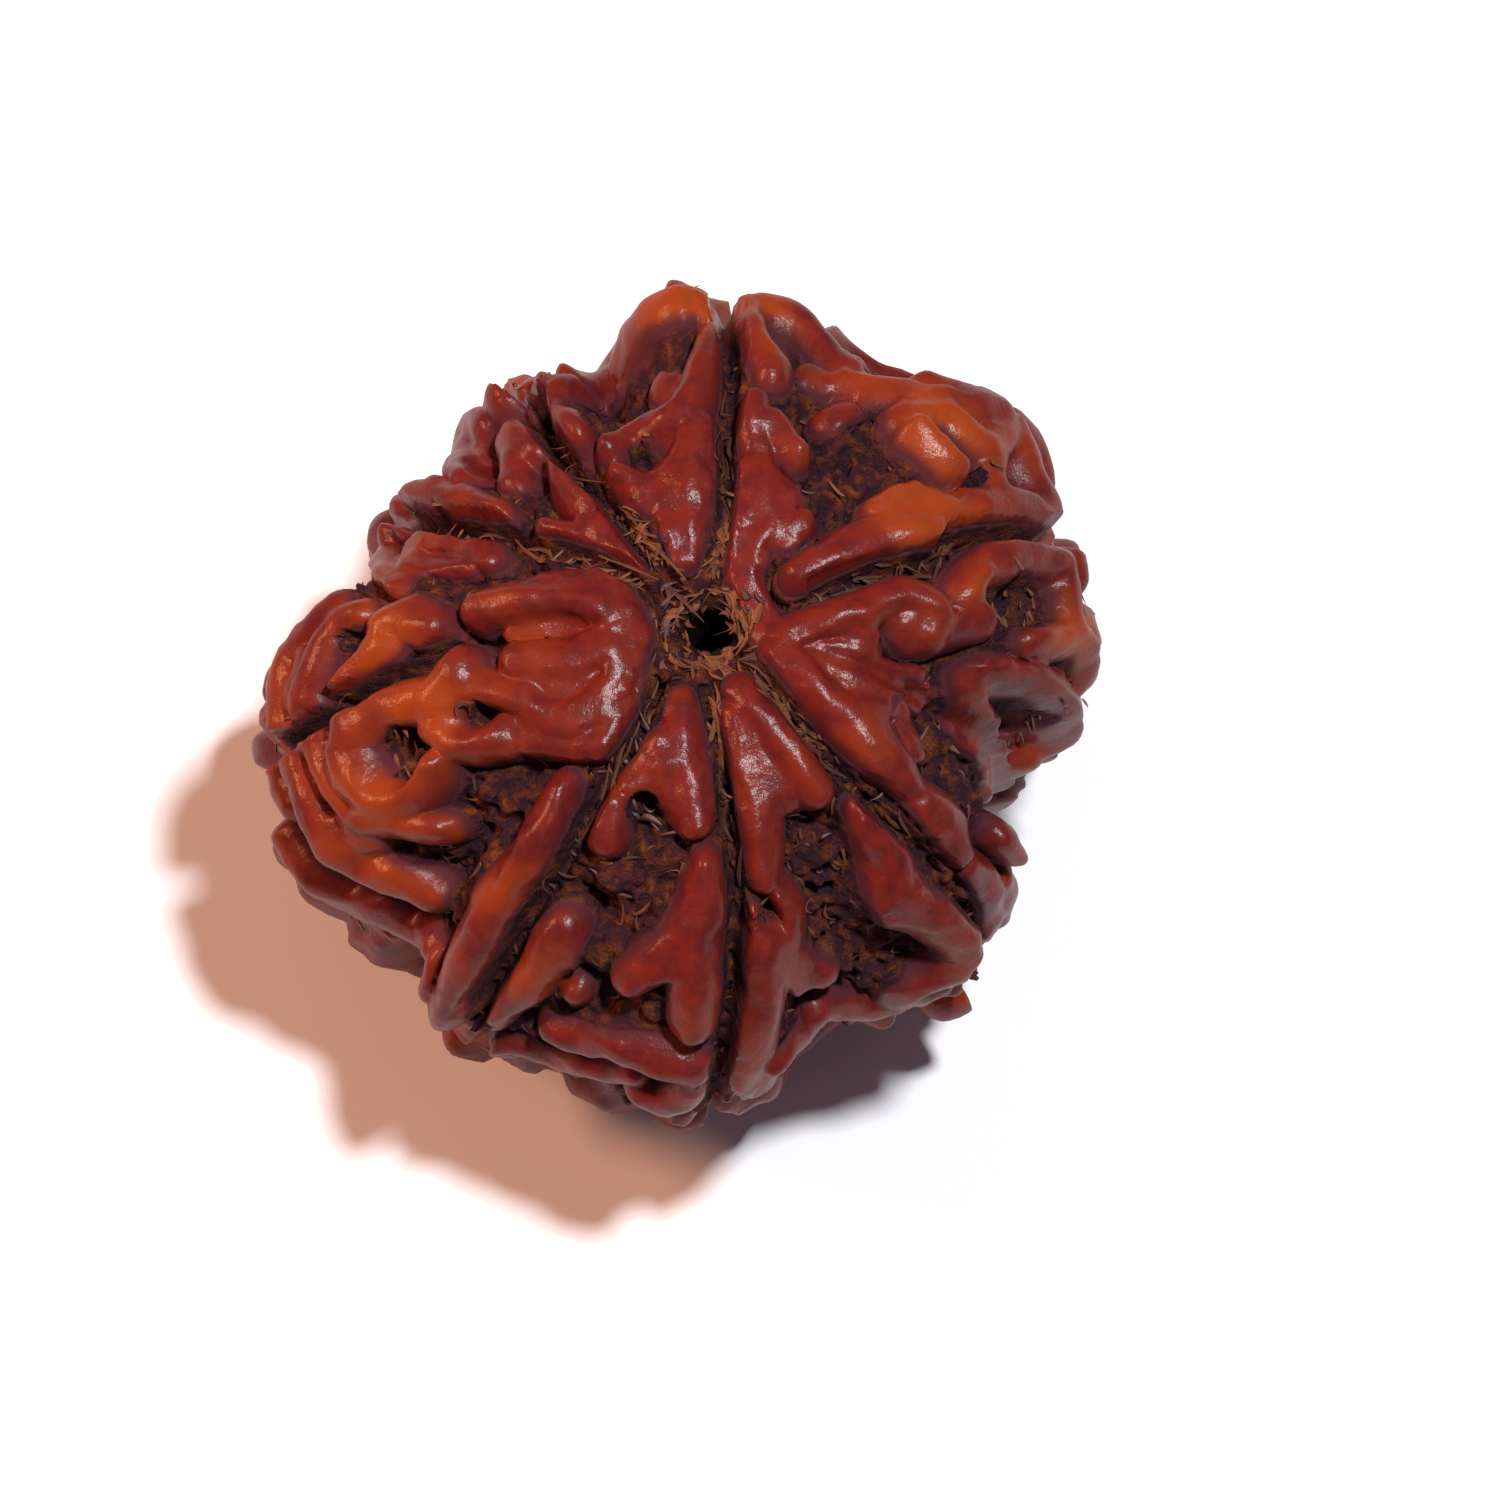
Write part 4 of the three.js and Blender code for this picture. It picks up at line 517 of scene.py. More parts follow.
def blend_rises(a, b):
    """The higher of two rises, flowing into each other where they are alike."""
    likeness = np.maximum(0, RIDGE_BLEND - np.abs(a - b))
    standing = np.clip(np.minimum(a, b) / RIDGE_BLEND, 0, 1)
    return np.maximum(a, b) + standing * likeness ** 2 / (4 * RIDGE_BLEND)


def relief(points):
    """Height over the envelope, how much of a ridge each point is, and how worn it is, from 0 to 1."""
    offset = points - MIDDLE
    radius = lobe_radius(np.arctan2(offset[:, 1], offset[:, 0]))
    normal = unit(np.stack([offset[:, 0] / radius ** 2, offset[:, 1] / radius ** 2,
                            offset[:, 2] / CROWN_RISE ** 2], axis=1))
    facing = normal @ TO_VIEWER
    from_axis = np.hypot(offset[:, 0], offset[:, 1])
    deepening = MOUTH_DEPTH_SHARE + (1 - MOUTH_DEPTH_SHARE) * smooth_step(*DEEPENING_RADII, from_axis)
    depth = np.where(offset[:, 2] > 0, deepening, 1)
    floor = depth * (-FLOOR_DEPTH + FLOOR_ROUGHNESS * floor_field(offset))
    widening = 1 + EDGE_WIDENING * (1 - smooth_step(*EDGE_FACING, facing))
    rise = np.zeros(len(points))
    ridge = np.zeros(len(points))
    for level, pieces in ridge_parts:
        chosen = points_round(points, pieces, RIDGE_MARGIN)
        near = points[chosen]
        share = np.ones(len(chosen))
        for piece in pieces:
            distance, width = near_piece(near, piece)
            share = np.minimum(share, distance / (width * widening[chosen] + RIDGE_FOOT))
        section = 1 - share ** RIDGE_ROUNDNESS
        rise[chosen] = blend_rises(rise[chosen], (level - floor[chosen]) * section)
        ridge[chosen] = np.maximum(ridge[chosen], section)
    to_suture = np.full(len(points), FAR_AWAY)
    for pieces in suture_parts:
        chosen = points_round(points, pieces, SUTURE_MARGIN)
        near = points[chosen]
        for piece in pieces:
            to_suture[chosen] = np.minimum(to_suture[chosen], near_piece(near, piece)[0])
    hidden = 1 - smooth_step(*HIDDEN_FACING, facing)
    flank = np.exp(-(((to_suture - FLANK_DISTANCE) / FLANK_SPREAD) ** 2))
    hidden_share = smooth_step(*HIDDEN_RIDGE_LEVELS, hidden_field(offset) + flank) * hidden
    rise = blend_rises(rise, -floor * hidden_share)
    ridge = np.maximum(ridge, hidden_share)
    height = floor + rise
    cut = depth * (-SUTURE_DEPTH + (SUTURE_DEPTH + SUTURE_RIM) * (to_suture / SUTURE_HALF_WIDTH) ** 2)
    ridge = np.where(cut < height, ridge * smooth_step(*SUTURE_EDGE, cut), ridge)
    height = np.minimum(height, cut)
    for centre, (_, _, pit_radius) in zip(pit_centres, PITS):
        share = np.linalg.norm(points - centre, axis=1) / pit_radius
        pit = -PIT_DEPTH + (PIT_DEPTH + PIT_RIM) * share ** 3
        ridge = np.where((share < 1) & (pit < height), ridge * smooth_step(*PIT_EDGE, pit), ridge)
        height = np.where(share < 1, np.minimum(height, pit), height)
    worn = np.where(offset[:, 2] < 0, 1 - smooth_step(FOOT_WORN_RADIUS, FOOT_BLEND_RADIUS, from_axis), 0)
    return height * (1 - worn), ridge, worn


def outward_normals(grid):
    """Normals of a grid that closes on itself both ways."""
    along = np.roll(grid, -1, axis=0) - np.roll(grid, 1, axis=0)
    across = np.roll(grid, -1, axis=1) - np.roll(grid, 1, axis=1)
    return unit(np.cross(across, along))


def rim_share(ways):
    """How near each direction is to the edge that the photo shows, from 0 to 1."""
    toward = ways @ TO_VIEWER
    return smooth_step(*RIM_BEHIND, toward) * (1 - smooth_step(*RIM_BEFORE, toward))


def channel_rows(top_rim, foot_rim, across):
    """Rows down the inside of the channel, between its two mouths."""
    down = np.linspace(0, 1, CHANNEL_ROWS + 2)[1:-1, None]
    level = top_rim[:, 2] * (1 - down) + foot_rim[:, 2] * down
    inner_x = CHANNEL_X + CHANNEL_RADIUS * across[:, 0]
    inner_y = CHANNEL_Y + CHANNEL_RADIUS * across[:, 1]
    flare_top = 1 - smooth_step(0, TOP_FLARE, down)
    flare_foot = smooth_step(FOOT_FLARE, 1, down)
    narrow = 1 - flare_top - flare_foot
    x = top_rim[:, 0] * flare_top + foot_rim[:, 0] * flare_foot + inner_x * narrow
    y = top_rim[:, 1] * flare_top + foot_rim[:, 1] * flare_foot + inner_y * narrow
    return np.stack([x, y, level], axis=2)


def stone_grid():
    """Closed grid: rows from the foot's mouth over the crown to its mouth and back down the channel."""
    turn = np.linspace(0, 2 * math.pi, COLUMNS, endpoint=False)
    across = np.stack([CHANNEL_STRETCH * np.cos(turn), np.sin(turn)], axis=1)
    compass = np.arctan2(across[:, 1], across[:, 0])
    top = np.arctan2(MOUTH_HEIGHT - WAIST_HEIGHT, CHANNEL_MOUTH_RADIUS * np.linalg.norm(across, axis=1))
    foot = -np.arctan2(WAIST_HEIGHT, FOOT_MOUTH_RADIUS * np.linalg.norm(across, axis=1))
    share = np.linspace(0, 1, OUTER_ROWS)[:, None]
    # More rows where the photo looks
    share = share + VISIBLE_ROW_BIAS * np.sin(math.pi * share)
    lift = foot + (top - foot) * share
    ways = np.stack([np.cos(lift) * np.cos(compass), np.cos(lift) * np.sin(compass), np.sin(lift)], axis=2)
    ways = ways.reshape(-1, 3)
    outer = envelope_point(ways)
    height, ridge, worn = relief(outer)
    rim = rim_share(ways).reshape(OUTER_ROWS, COLUMNS)
    outer = outer + ways * (height - CREST_CLEARANCE)[:, None]
    outer = outer.reshape(OUTER_ROWS, COLUMNS, 3)
    ridge = ridge.reshape(OUTER_ROWS, COLUMNS)
    worn = worn.reshape(OUTER_ROWS, COLUMNS)
    grid = np.concatenate([outer, channel_rows(outer[-1], outer[0], across)])
    normals = outward_normals(grid)
    # Steep walls are smoother than valley floors
    outwards = np.sum(normals[:OUTER_ROWS] * ways.reshape(outer.shape), axis=2)
    level_share = smooth_step(*GRAIN_FACING, outwards) * (1 - RIM_CALM * rim)
    channel_rough = np.full((CHANNEL_ROWS, COLUMNS), CHANNEL_GRAIN)
    rough = np.concatenate([(1 - ridge) * (1 - worn) * level_share, channel_rough])
    smooth = np.concatenate([ridge, np.zeros((CHANNEL_ROWS, COLUMNS))])
    flat = grid.reshape(-1, 3)
    grain = (GRAIN * grain_field(flat) + GRIT * grit_field(flat)).reshape(rough.shape)
    swell = (SWELL * (swell_field(flat) - 1) + RIPPLE * ripple_field(flat)).reshape(rough.shape)
    bulge = WALL_BULGE * 4 * smooth * (1 - smooth)
    shift = rough * grain + smooth * swell + bulge
    grid = grid + normals * shift[..., None]
    grid[..., 2] = np.clip(grid[..., 2], 0, TOP_HEIGHT)
    return grid


def mesh_object(name, vertices, faces, material):
    mesh = bpy.data.meshes.new(name)
    mesh.from_pydata((np.asarray(vertices) * MM).tolist(), [], faces)
    mesh.validate()
    mesh.update()
    piece = bpy.data.objects.new(name, mesh)
    bpy.context.scene.collection.objects.link(piece)
    piece.data.materials.append(material)
    return piece


def set_attribute(mesh, name, values):
    layer = mesh.attributes.new(name, "FLOAT", "POINT")
    layer.data.foreach_set("value", np.asarray(values, np.float32))


def build_stone(material):
    grid = stone_grid()
    rows = grid.shape[0]
    index = np.arange(rows * COLUMNS).reshape(rows, COLUMNS)
    right = np.roll(index, -1, axis=1)
    above = np.roll(index, -1, axis=0)
    above_right = np.roll(above, -1, axis=1)
    quads = np.stack([index, right, above_right, above], axis=2).reshape(-1, 4)
    mesh = bpy.data.meshes.new("stone_full")
    mesh.vertices.add(rows * COLUMNS)
    mesh.vertices.foreach_set("co", (grid.reshape(-1) * MM).astype(np.float32))
    mesh.loops.add(quads.size)
    mesh.loops.foreach_set("vertex_index", quads.reshape(-1).astype(np.int32))
    mesh.polygons.add(len(quads))
    mesh.polygons.foreach_set("loop_start", np.arange(0, quads.size, 4, dtype=np.int32))
    mesh.update(calc_edges=True)
    full = bpy.data.objects.new("stone_full", mesh)
    bpy.context.scene.collection.objects.link(full)
    thin = full.modifiers.new("thin", "DECIMATE")
    thin.ratio = TARGET_TRIANGLES / (2 * len(quads))
    graph = bpy.context.evaluated_depsgraph_get()
    thinned = bpy.data.meshes.new_from_object(full.evaluated_get(graph))
    bpy.data.objects.remove(full)
    bpy.data.meshes.remove(mesh)
    thinned.name = "stone"
    piece = bpy.data.objects.new("stone", thinned)
    bpy.context.scene.collection.objects.link(piece)
    thinned.materials.clear()
    thinned.materials.append(material)
    thinned.polygons.foreach_set("use_smooth", [True] * len(thinned.polygons))
    paint_stone(thinned)
    return piece


# Ridges that are lighter and more orange: right, up, radius, strength
WARM_PLACES = [
    (-9.6, -3.2, 3.6, 0.85), (-9.6, 0.1, 1.6, 0.8), (-10.9, -7.2, 2.2, 0.5), (-12.4, -2.0, 1.6, 0.45),
    (7.0, 5.6, 1.8, 0.95), (6.6, 3.3, 2.2, 0.75), (9.0, 5.0, 2.0, 0.6), (8.2, 1.5, 0.9, 0.8),
    (10.9, -0.6, 1.0, 0.7), (-1.0, 9.5, 2.0, 0.7), (1.6, 9.0, 1.2, 0.75), (4.8, 7.4, 1.2, 0.7),
    (-6.2, 7.0, 1.0, 0.4), (-5.4, -10.4, 1.0, 0.45), (-6.2, -8.0, 1.8, 0.35), (6.2, -4.6, 1.6, 0.25),
    (-8.6, 2.6, 1.2, 0.35),
]
FRONT_FACING = (-0.3, 0.2)
# Warmth of the side that the photo doesn't show
HIDDEN_WARMTH = 0.15
HIDDEN_WARMTH_SWING = 0.25
HIDDEN_WARMTH_STRETCH = 3
# Painted shade: inside the first radius from the channel's axis the stone is painted near black, fading out
# by the second
CHANNEL_SHADE_RADII = (CHANNEL_RADIUS + 0.1, CHANNEL_MOUTH_RADIUS + 0.5)
WORN_SHEEN = 0.8
GRIT_SHARE = 0.5


def paint_stone(mesh):
    """Stores what each vertex is, for the material: ridge, warmth, the channel with its painted shade, and
    grain.
    """
    count = len(mesh.vertices)
    places = np.empty(count * 3, np.float32)
    mesh.vertices.foreach_get("co", places)
    places = places.reshape(-1, 3).astype(float) / MM
    offset = places - MIDDLE
    ways = unit(offset)
    outer = envelope_point(ways)
    _, ridge, worn = relief(outer)
    depth = np.linalg.norm(outer - MIDDLE, axis=1) - np.linalg.norm(offset, axis=1)
    seen_right = (places - MOUTH) @ SEEN_RIGHT
    seen_up = (places - MOUTH) @ SEEN_UP
    front = smooth_step(*FRONT_FACING, ways @ TO_VIEWER)
    warmth = np.zeros(count)
    for right, up, radius, strength in WARM_PLACES:
        near = np.exp(-(((seen_right - right) ** 2 + (seen_up - up) ** 2) / radius ** 2))
        warmth = np.maximum(warmth, strength * near * front)
    hidden_swing = HIDDEN_WARMTH_SWING * swell_field(places / HIDDEN_WARMTH_STRETCH)
    warmth = np.maximum(warmth, (1 - front) * (HIDDEN_WARMTH + hidden_swing))
    from_axis = np.hypot(offset[:, 0] / CHANNEL_STRETCH, offset[:, 1])
    # Painted shade in and round the channel: full inside, fading out over the mouth
    channel = 1 - smooth_step(*CHANNEL_SHADE_RADII, from_axis)
    rim = RIM_RIDGE * rim_share(ways) * smooth_step(*RIM_DEPTHS, depth)
    set_attribute(mesh, "ridge", np.maximum(np.maximum(ridge, rim), worn * WORN_SHEEN))
    set_attribute(mesh, "warmth", np.clip(warmth, 0, 1))
    set_attribute(mesh, "channel", channel)
    set_attribute(mesh, "grain", grain_field(outer) + GRIT_SHARE * grit_field(outer))


# Colours are linear
MAROON = (0.140, 0.0118, 0.0070, 1)
MAROON_DARK = (0.095, 0.0085, 0.0085, 1)
ORANGE = (0.26, 0.038, 0.005, 1)
VALLEY_DARK = (0.042, 0.014, 0.020, 1)
VALLEY_BROWN = (0.105, 0.026, 0.016, 1)
# Painted shade with a painted purplish reflection haze: ridge walls darken to this towards their feet
PAINTED_EDGE_SHADE = (0.070, 0.015, 0.020, 1)
FIBRE_ORANGE = (0.19, 0.055, 0.015, 1)
FIBRE_BROWN = (0.060, 0.018, 0.012, 1)
# Painted shade: the near black of the channel's inside and its mouth
CHANNEL_PAINTED_SHADE = (0.012, 0.006, 0.004, 1)


class Nodes:
    """Short calls to add and join material nodes."""

    def __init__(self, name):
        self.material = bpy.data.materials.new(name)
        self.material.use_nodes = True
        self.tree = self.material.node_tree
        self.shader = self.tree.nodes["Principled BSDF"]

    def add(self, kind, **settings):
        node = self.tree.nodes.new(kind)
        for key, value in settings.items():
            setattr(node, key, value)
        return node

    def link(self, source, target):
        self.tree.links.new(source, target)

    def attribute(self, name):
        return self.add("ShaderNodeAttribute", attribute_name=name).outputs["Fac"]

    def noise(self, per_mm, detail=3.0, roughness=0.55):
        node = self.add("ShaderNodeTexNoise")
        node.inputs["Scale"].default_value = per_mm / MM
        node.inputs["Detail"].default_value = detail
        node.inputs["Roughness"].default_value = roughness
        self.link(self.add("ShaderNodeTexCoord").outputs["Object"], node.inputs["Vector"])
        return node.outputs["Fac"]

    def range(self, value, low, high, to_low=0.0, to_high=1.0):
        node = self.add("ShaderNodeMapRange", interpolation_type="SMOOTHSTEP")
        self.link(value, node.inputs["Value"])
        node.inputs["From Min"].default_value = low
        node.inputs["From Max"].default_value = high
        node.inputs["To Min"].default_value = to_low
        node.inputs["To Max"].default_value = to_high
        return node.outputs["Result"]

    def math(self, operation, first, second):
        node = self.add("ShaderNodeMath", operation=operation)
        for socket, value in zip(node.inputs, (first, second)):
            if isinstance(value, (int, float)):
                socket.default_value = value
            else:
                self.link(value, socket)
        return node.outputs[0]

    def mix(self, factor, first, second):
        node = self.add("ShaderNodeMix", data_type="RGBA")
        self.link(factor, node.inputs["Factor"])
        for socket, value in ((node.inputs[6], first), (node.inputs[7], second)):
            if isinstance(value, tuple):
                socket.default_value = value
            else:
                self.link(value, socket)
        return node.outputs[2]

    def bump(self, height, strength, distance_mm, normal=None):
        node = self.add("ShaderNodeBump")
        node.inputs["Strength"].default_value = strength
        node.inputs["Distance"].default_value = distance_mm * MM
        self.link(height, node.inputs["Height"])
        if normal is not None:
            self.link(normal, node.inputs["Normal"])
        return node.outputs["Normal"]


# Noise scales in waves per millimetre, bump distances in millimetres
WARM_NOISE_SCALE = 0.35
MOTTLE_SCALE = 1.6
TANGLE_SCALE = 2.6
SKIN_SCALE = 4.5
SKIN_BUMP = 0.05
TANGLE_BUMP = 0.45
VALLEY_ROUGHNESS = 0.75
RIDGE_ROUGHNESS = 0.5
RIDGE_COAT = 0.27
COAT_ROUGHNESS = 0.2
SPECULAR_LEVEL = 0.08
FIBRE_NOISE_SCALE = 1.5
FIBRE_ROUGHNESS = 0.6


def stone_material():
    nodes = Nodes("stone_shell")
    # Ridge walls towards their feet: painted shade goes there, and the bump is rougher there
    edge = nodes.range(nodes.attribute("ridge"), 0.02, 0.3)
    ridge = nodes.range(nodes.attribute("ridge"), 0.25, 0.7)
    warm_noise = nodes.range(nodes.noise(WARM_NOISE_SCALE, 3, 0.5), 0.3, 0.7, -0.35, 0.35)
    warmth = nodes.math("ADD", nodes.attribute("warmth"), warm_noise)
    warmth = nodes.range(warmth, 0.0, 1.0)
    mottle = nodes.range(nodes.noise(MOTTLE_SCALE, 4, 0.6), 0.35, 0.6)
    ridge_colour = nodes.mix(warmth, nodes.mix(mottle, MAROON_DARK, MAROON), ORANGE)
    # Valleys: nests of fine fibre, dark purple with brown and orange bits
    tangle = nodes.noise(TANGLE_SCALE, 5, 0.7)
    fine_grain = nodes.range(tangle, 0.35, 0.65, -1.0, 1.0)
    grain = nodes.math("ADD", nodes.math("MULTIPLY", nodes.attribute("grain"), 0.5), fine_grain)
    patches = nodes.range(grain, -0.5, 0.7)
    specks = nodes.range(grain, 0.75, 1.9)
    valley_colour = nodes.mix(patches, VALLEY_DARK, VALLEY_BROWN)
    valley_colour = nodes.mix(specks, valley_colour, FIBRE_ORANGE)
    # Painted shade and painted reflection haze: the ridge walls turn dark purple between valley and crest
    painted_edge_shade = nodes.mix(edge, valley_colour, PAINTED_EDGE_SHADE)
    colour = nodes.mix(ridge, painted_edge_shade, ridge_colour)
    # Painted shade: the channel and its mouth are painted near black
    colour = nodes.mix(nodes.attribute("channel"), colour, CHANNEL_PAINTED_SHADE)
    nodes.link(colour, nodes.shader.inputs["Base Color"])
    rough = nodes.range(ridge, 0, 1, VALLEY_ROUGHNESS, RIDGE_ROUGHNESS)
    nodes.link(rough, nodes.shader.inputs["Roughness"])
    gloss = nodes.math("MULTIPLY", ridge, RIDGE_COAT)
    nodes.link(gloss, nodes.shader.inputs["Coat Weight"])
    nodes.shader.inputs["Coat Roughness"].default_value = COAT_ROUGHNESS
    nodes.shader.inputs["Specular IOR Level"].default_value = SPECULAR_LEVEL
    # Ridges are waxy with a fine orange-peel skin, valleys are rough
    skin = nodes.bump(nodes.noise(SKIN_SCALE, 2, 0.5), 0.35, SKIN_BUMP)
    roughening = nodes.range(edge, 0, 1, 1.0, 0.06)
    height = nodes.math("MULTIPLY", tangle, roughening)
    normal = nodes.bump(height, 1.0, TANGLE_BUMP, skin)
    nodes.link(normal, nodes.shader.inputs["Normal"])
    nodes.link(normal, nodes.shader.inputs["Coat Normal"])
    return nodes.material


def fibre_material():
    nodes = Nodes("stone_fibres")
    tone_noise = nodes.range(nodes.noise(FIBRE_NOISE_SCALE, 3), 0.3, 0.7, -0.2, 0.2)
    tone = nodes.math("ADD", nodes.attribute("tone"), tone_noise)
    colour = nodes.mix(nodes.range(tone, 0, 1), FIBRE_BROWN, FIBRE_ORANGE)
    nodes.link(colour, nodes.shader.inputs["Base Color"])
    nodes.shader.inputs["Roughness"].default_value = FIBRE_ROUGHNESS
    return nodes.material


# Fibres: short bent strands in the valleys, along the grooves and round the channel's mouth
FIBRE_SEED = 20240611
VALLEY_FIBRES = 420
GROOVE_FIBRES = 110
GROOVE_FIBRE_PIECES = 6
GROOVE_SPREAD = 0.2
MOUTH_FIBRES = 60
MOUTH_FIBRE_RADII = (0.6, 1.5)
PIT_FIBRES_PER_MM = 16
# Bright strips: from and to, right and up as the photo shows them, and how many strands
FIBRE_STRIPS = [
    ((0.45, 3.6), (0.15, 1.9), 30), ((1.6, -1.6), (4.0, -4.0), 40), ((-2.7, 4.2), (-1.6, 2.2), 24),
    ((-0.2, -1.0), (0.5, -1.4), 26), ((0.75, 0.9), (0.9, 0.2), 12), ((-3.6, 1.9), (-2.4, 1.6), 14),
    ((0.2, -2.2), (0.4, -4.4), 18),
]
STRIP_SPREAD = 0.13
# Valley fibres start in low places, away from the mouth, more of them towards the viewer
LOW_RIDGE = 0.2
LOW_WEAR = 0.1
MOUTH_CLEARANCE = 1.3
VIEWER_LEANING = 0.9
WAYS_PER_DRAW = 4000
# How far each group's strands stray from its own direction
GROOVE_STRAY = 0.15
STRIP_STRAY = 0.3
MOUTH_STRAY = 0.5
# Places in a pit: how far they scatter, as a share of its radius, and rise, in millimetres
PIT_SPREAD = 0.35
PIT_RISE = 0.3
# One strand
FIBRE_JOINTS = 6
FIBRE_SIDES = 4
FIBRE_FLATNESS = 0.6
FIBRE_TAPER = 0.8
STRAND_LIFT = 0.12
STRAND_BEND = 1.1
STRAND_HUG = 0.9


def valley_places(count, draw):
    """Places on the envelope where the relief is low, most of them on the visible side."""
    found = []
    while len(found) < count:
        ways = unit(draw.normal(size=(WAYS_PER_DRAW, 3)) + VIEWER_LEANING * TO_VIEWER)
        outer = envelope_point(ways)
        height, ridge, worn = relief(outer)
        from_axis = np.hypot(*(outer - MIDDLE)[:, :2].T)
        low = (ridge < LOW_RIDGE) & (worn < LOW_WEAR) & (from_axis > MOUTH_CLEARANCE)
        for point in (outer + ways * height[:, None])[low]:
            found.append((point, draw.normal(size=3)))
    return found[:count]


def groove_places(count, draw):
    """Places down in the grooves near the channel, each with the groove's own direction."""
    found = []
    for _ in range(count):
        pieces = suture_parts[draw.integers(len(suture_parts))]
        start, span, _, _ = pieces[draw.integers(min(GROOVE_FIBRE_PIECES, len(pieces)))]
        place = start + span * draw.random() + draw.normal(size=3) * GROOVE_SPREAD
        way = unit(place - MIDDLE)
        outer = envelope_point(way)
        height, _, _ = relief(outer[None])
        direction = unit(span) + GROOVE_STRAY * draw.normal(size=3)
        found.append((outer + way * height[0], direction))
    return found


def mouth_places(count, draw):
    """Places round the channel's mouth, each with a direction round the hole."""
    found = []
    for turn in draw.uniform(0, 2 * math.pi, count):
        out = np.array([CHANNEL_STRETCH * math.cos(turn), math.sin(turn), 0])
        radius = draw.uniform(*MOUTH_FIBRE_RADII)
        way = unit(np.array([radius * out[0], radius * out[1], MOUTH_HEIGHT - WAIST_HEIGHT]))
        outer = envelope_point(way)
        height, _, _ = relief(outer[None])
        direction = np.array([-out[1], out[0], 0]) + MOUTH_STRAY * draw.normal(size=3)
        found.append((outer + way * height[0], direction))
    return found


def pit_places(draw):
    """Places on the floors of the pits, which the photo shows stuffed with brown fibre."""
    found = []
    for centre, (_, _, pit_radius) in zip(pit_centres, PITS):
        for _ in range(int(PIT_FIBRES_PER_MM * pit_radius)):
            way = unit(centre + draw.normal(size=3) * PIT_SPREAD * pit_radius - MIDDLE)
            outer = envelope_point(way)
            height, _, _ = relief(outer[None])
            found.append((outer + way * (height[0] + PIT_RISE * draw.random()), draw.normal(size=3)))
    return found


def strip_places(draw):
    """Places in the bright strips of fibre, each with the strip's direction."""
    found = []
    for (right, up), (end_right, end_up), count in FIBRE_STRIPS:
        share = draw.random(count)[:, None]
        run = np.array([end_right - right, end_up - up])
        seen = np.array([right, up]) + run * share + STRIP_SPREAD * draw.normal(size=(count, 2))
        outer = cast_on_envelope(seen)
        height, _, _ = relief(outer)
        along = unit(run[0] * SEEN_RIGHT + run[1] * SEEN_UP)
        for point in outer + unit(outer - MIDDLE) * height[:, None]:
            found.append((point, along + STRIP_STRAY * draw.normal(size=3)))
    return found


def add_strand(vertices, faces, place, direction, draw, lengths, thicknesses):
    """A bent strand with flat sides that lies on the surface and thins towards both ends."""
    outward = unit(place - MIDDLE)
    along = unit(direction - outward * (outward @ direction) + STRAND_LIFT * outward * draw.random())
    side = unit(np.cross(along, outward))
    length = draw.uniform(*lengths)
    thickness = draw.uniform(*thicknesses)
    bend = draw.normal(size=3) * STRAND_BEND
    bend = bend - STRAND_HUG * outward * (outward @ bend)
    start = len(vertices)
    for joint in range(FIBRE_JOINTS):
        share = joint / (FIBRE_JOINTS - 1)
        centre = place + along * length * (share - 0.5) + bend * length * (share - 0.5) ** 2
        size = thickness * (1 - FIBRE_TAPER * abs(2 * share - 1) ** 2)
        for corner in range(FIBRE_SIDES):
            turn = 2 * math.pi * corner / FIBRE_SIDES
            spoke = math.cos(turn) * side + FIBRE_FLATNESS * math.sin(turn) * outward
            vertices.append(centre + size * spoke)
    for joint in range(FIBRE_JOINTS - 1):
        for corner in range(FIBRE_SIDES):
            here = start + joint * FIBRE_SIDES + corner
            beside = start + joint * FIBRE_SIDES + (corner + 1) % FIBRE_SIDES
            faces.append((here, beside, beside + FIBRE_SIDES, here + FIBRE_SIDES))
    faces.append(tuple(start + corner for corner in reversed(range(FIBRE_SIDES))))
    last = start + (FIBRE_JOINTS - 1) * FIBRE_SIDES
    faces.append(tuple(last + corner for corner in range(FIBRE_SIDES)))


def build_fibres(material):
    draw = np.random.default_rng(FIBRE_SEED)
    # Places and directions, then ranges of length, thickness and tone from dark to bright
    groups = [
        (valley_places(VALLEY_FIBRES, draw), (0.25, 0.8), (0.03, 0.08), (0.0, 0.6)),
        (groove_places(GROOVE_FIBRES, draw), (0.7, 2.2), (0.03, 0.09), (0.0, 0.5)),
        (strip_places(draw), (0.3, 1.0), (0.03, 0.09), (0.3, 1.0)),
        (mouth_places(MOUTH_FIBRES, draw), (0.3, 0.9), (0.04, 0.13), (0.1, 0.8)),
        (pit_places(draw), (0.3, 0.8), (0.04, 0.12), (0.1, 0.7)),
    ]
    vertices = []
    faces = []
    tones = []
    for places, lengths, thicknesses, tone_range in groups:
        for place, direction in places:
            add_strand(vertices, faces, place, direction, draw, lengths, thicknesses)
            tones += [draw.uniform(*tone_range)] * (FIBRE_JOINTS * FIBRE_SIDES)
    vertices = np.array(vertices)
    vertices[:, 2] = np.clip(vertices[:, 2], 0, TOP_HEIGHT)
    piece = mesh_object("fibres", vertices, faces, material)
    set_attribute(piece.data, "tone", tones)
    return piece


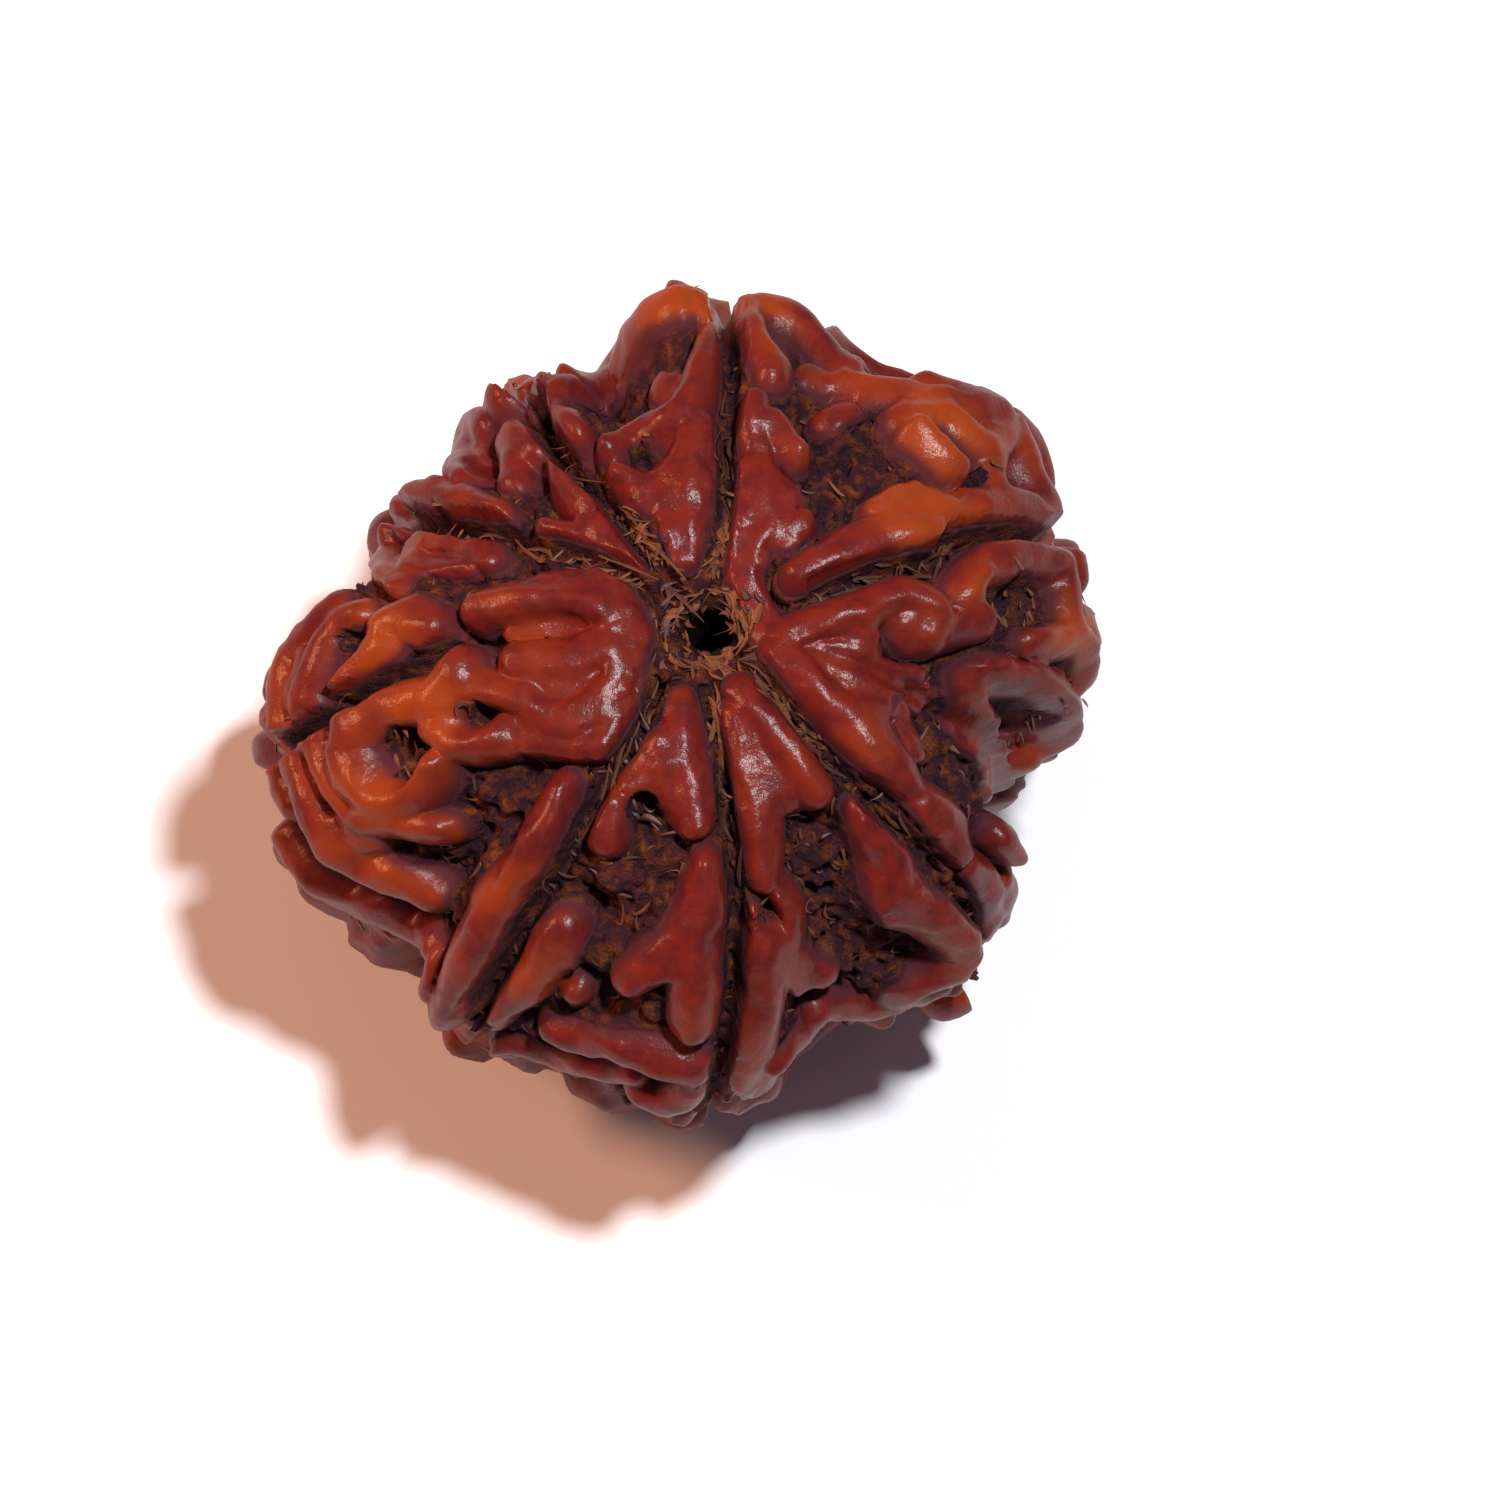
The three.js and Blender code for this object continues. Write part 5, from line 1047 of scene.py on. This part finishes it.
# Stage: pale ground, a high key light from the right, a warm fill from the left. Metres and watts.
GROUND_HALF = 0.6
GROUND_COLOUR = (0.86, 0.86, 0.88, 1)
GROUND_ROUGHNESS = 0.8
LIGHT_AIM = (0, 0, 0.01)
KEY_PLACE = (0.115, 0.01, 0.50)
KEY_SIZE = 0.05
KEY_POWER = 2.9
KEY_COLOUR = (0.96, 0.98, 1.0)
FILL_PLACE = (-0.33, 0.08, 0.30)
FILL_SIZE = 0.12
FILL_POWER = 1.6
FILL_COLOUR = (1.0, 0.46, 0.25)
SKY_COLOUR = (0.95, 0.80, 1.0, 1)
SKY_STRENGTH = 0.11
CAMERA_DISTANCE = 0.9
FRAME_WIDTH = 0.0446
# The sensor's width is in millimetres, and so are the places of the mouth in the frame
SENSOR_WIDTH = 36
MOUTH_LEFT_OF_CENTRE = 1.2
MOUTH_ABOVE_CENTRE = 3.75


def build_ground():
    corners = [(-GROUND_HALF, -GROUND_HALF, 0), (GROUND_HALF, -GROUND_HALF, 0),
               (GROUND_HALF, GROUND_HALF, 0), (-GROUND_HALF, GROUND_HALF, 0)]
    nodes = Nodes("ground_white")
    nodes.shader.inputs["Base Color"].default_value = GROUND_COLOUR
    nodes.shader.inputs["Roughness"].default_value = GROUND_ROUGHNESS
    ground = mesh_object("ground", np.array(corners) / MM, [(0, 1, 2, 3)], nodes.material)


def area_light(name, place, size, power, colour):
    light = bpy.data.lights.new(name, "AREA")
    light.shape = "DISK"
    light.size = size
    light.energy = power
    light.color = colour
    lamp = bpy.data.objects.new(name, light)
    lamp.location = place
    lamp.rotation_euler = (Vector(LIGHT_AIM) - Vector(place)).to_track_quat("-Z", "Y").to_euler()
    bpy.context.scene.collection.objects.link(lamp)


def build_light():
    area_light("key", KEY_PLACE, KEY_SIZE, KEY_POWER, KEY_COLOUR)
    area_light("warm_fill", FILL_PLACE, FILL_SIZE, FILL_POWER, FILL_COLOUR)
    world = bpy.data.worlds.new("studio")
    world.use_nodes = True
    sky = world.node_tree.nodes["Background"]
    sky.inputs["Color"].default_value = SKY_COLOUR
    sky.inputs["Strength"].default_value = SKY_STRENGTH
    bpy.context.scene.world = world


def build_camera():
    data = bpy.data.cameras.new("camera")
    data.sensor_width = SENSOR_WIDTH
    data.lens = SENSOR_WIDTH * CAMERA_DISTANCE / FRAME_WIDTH
    data.clip_start = 0.01
    camera = bpy.data.objects.new("camera", data)
    aim = MOUTH + MOUTH_LEFT_OF_CENTRE * SEEN_RIGHT - MOUTH_ABOVE_CENTRE * SEEN_UP
    axes = Matrix((SEEN_RIGHT, SEEN_UP, TO_VIEWER)).transposed().to_4x4()
    camera.matrix_world = Matrix.Translation(Vector(aim * MM + TO_VIEWER * CAMERA_DISTANCE)) @ axes
    bpy.context.scene.collection.objects.link(camera)
    bpy.context.scene.camera = camera


stone = build_stone(stone_material())
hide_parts("seed")
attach(stone, "root")
fibres = build_fibres(fibre_material())
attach(fibres, "root")
build_ground()
build_light()
build_camera()
bpy.context.scene.view_settings.view_transform = "Standard"
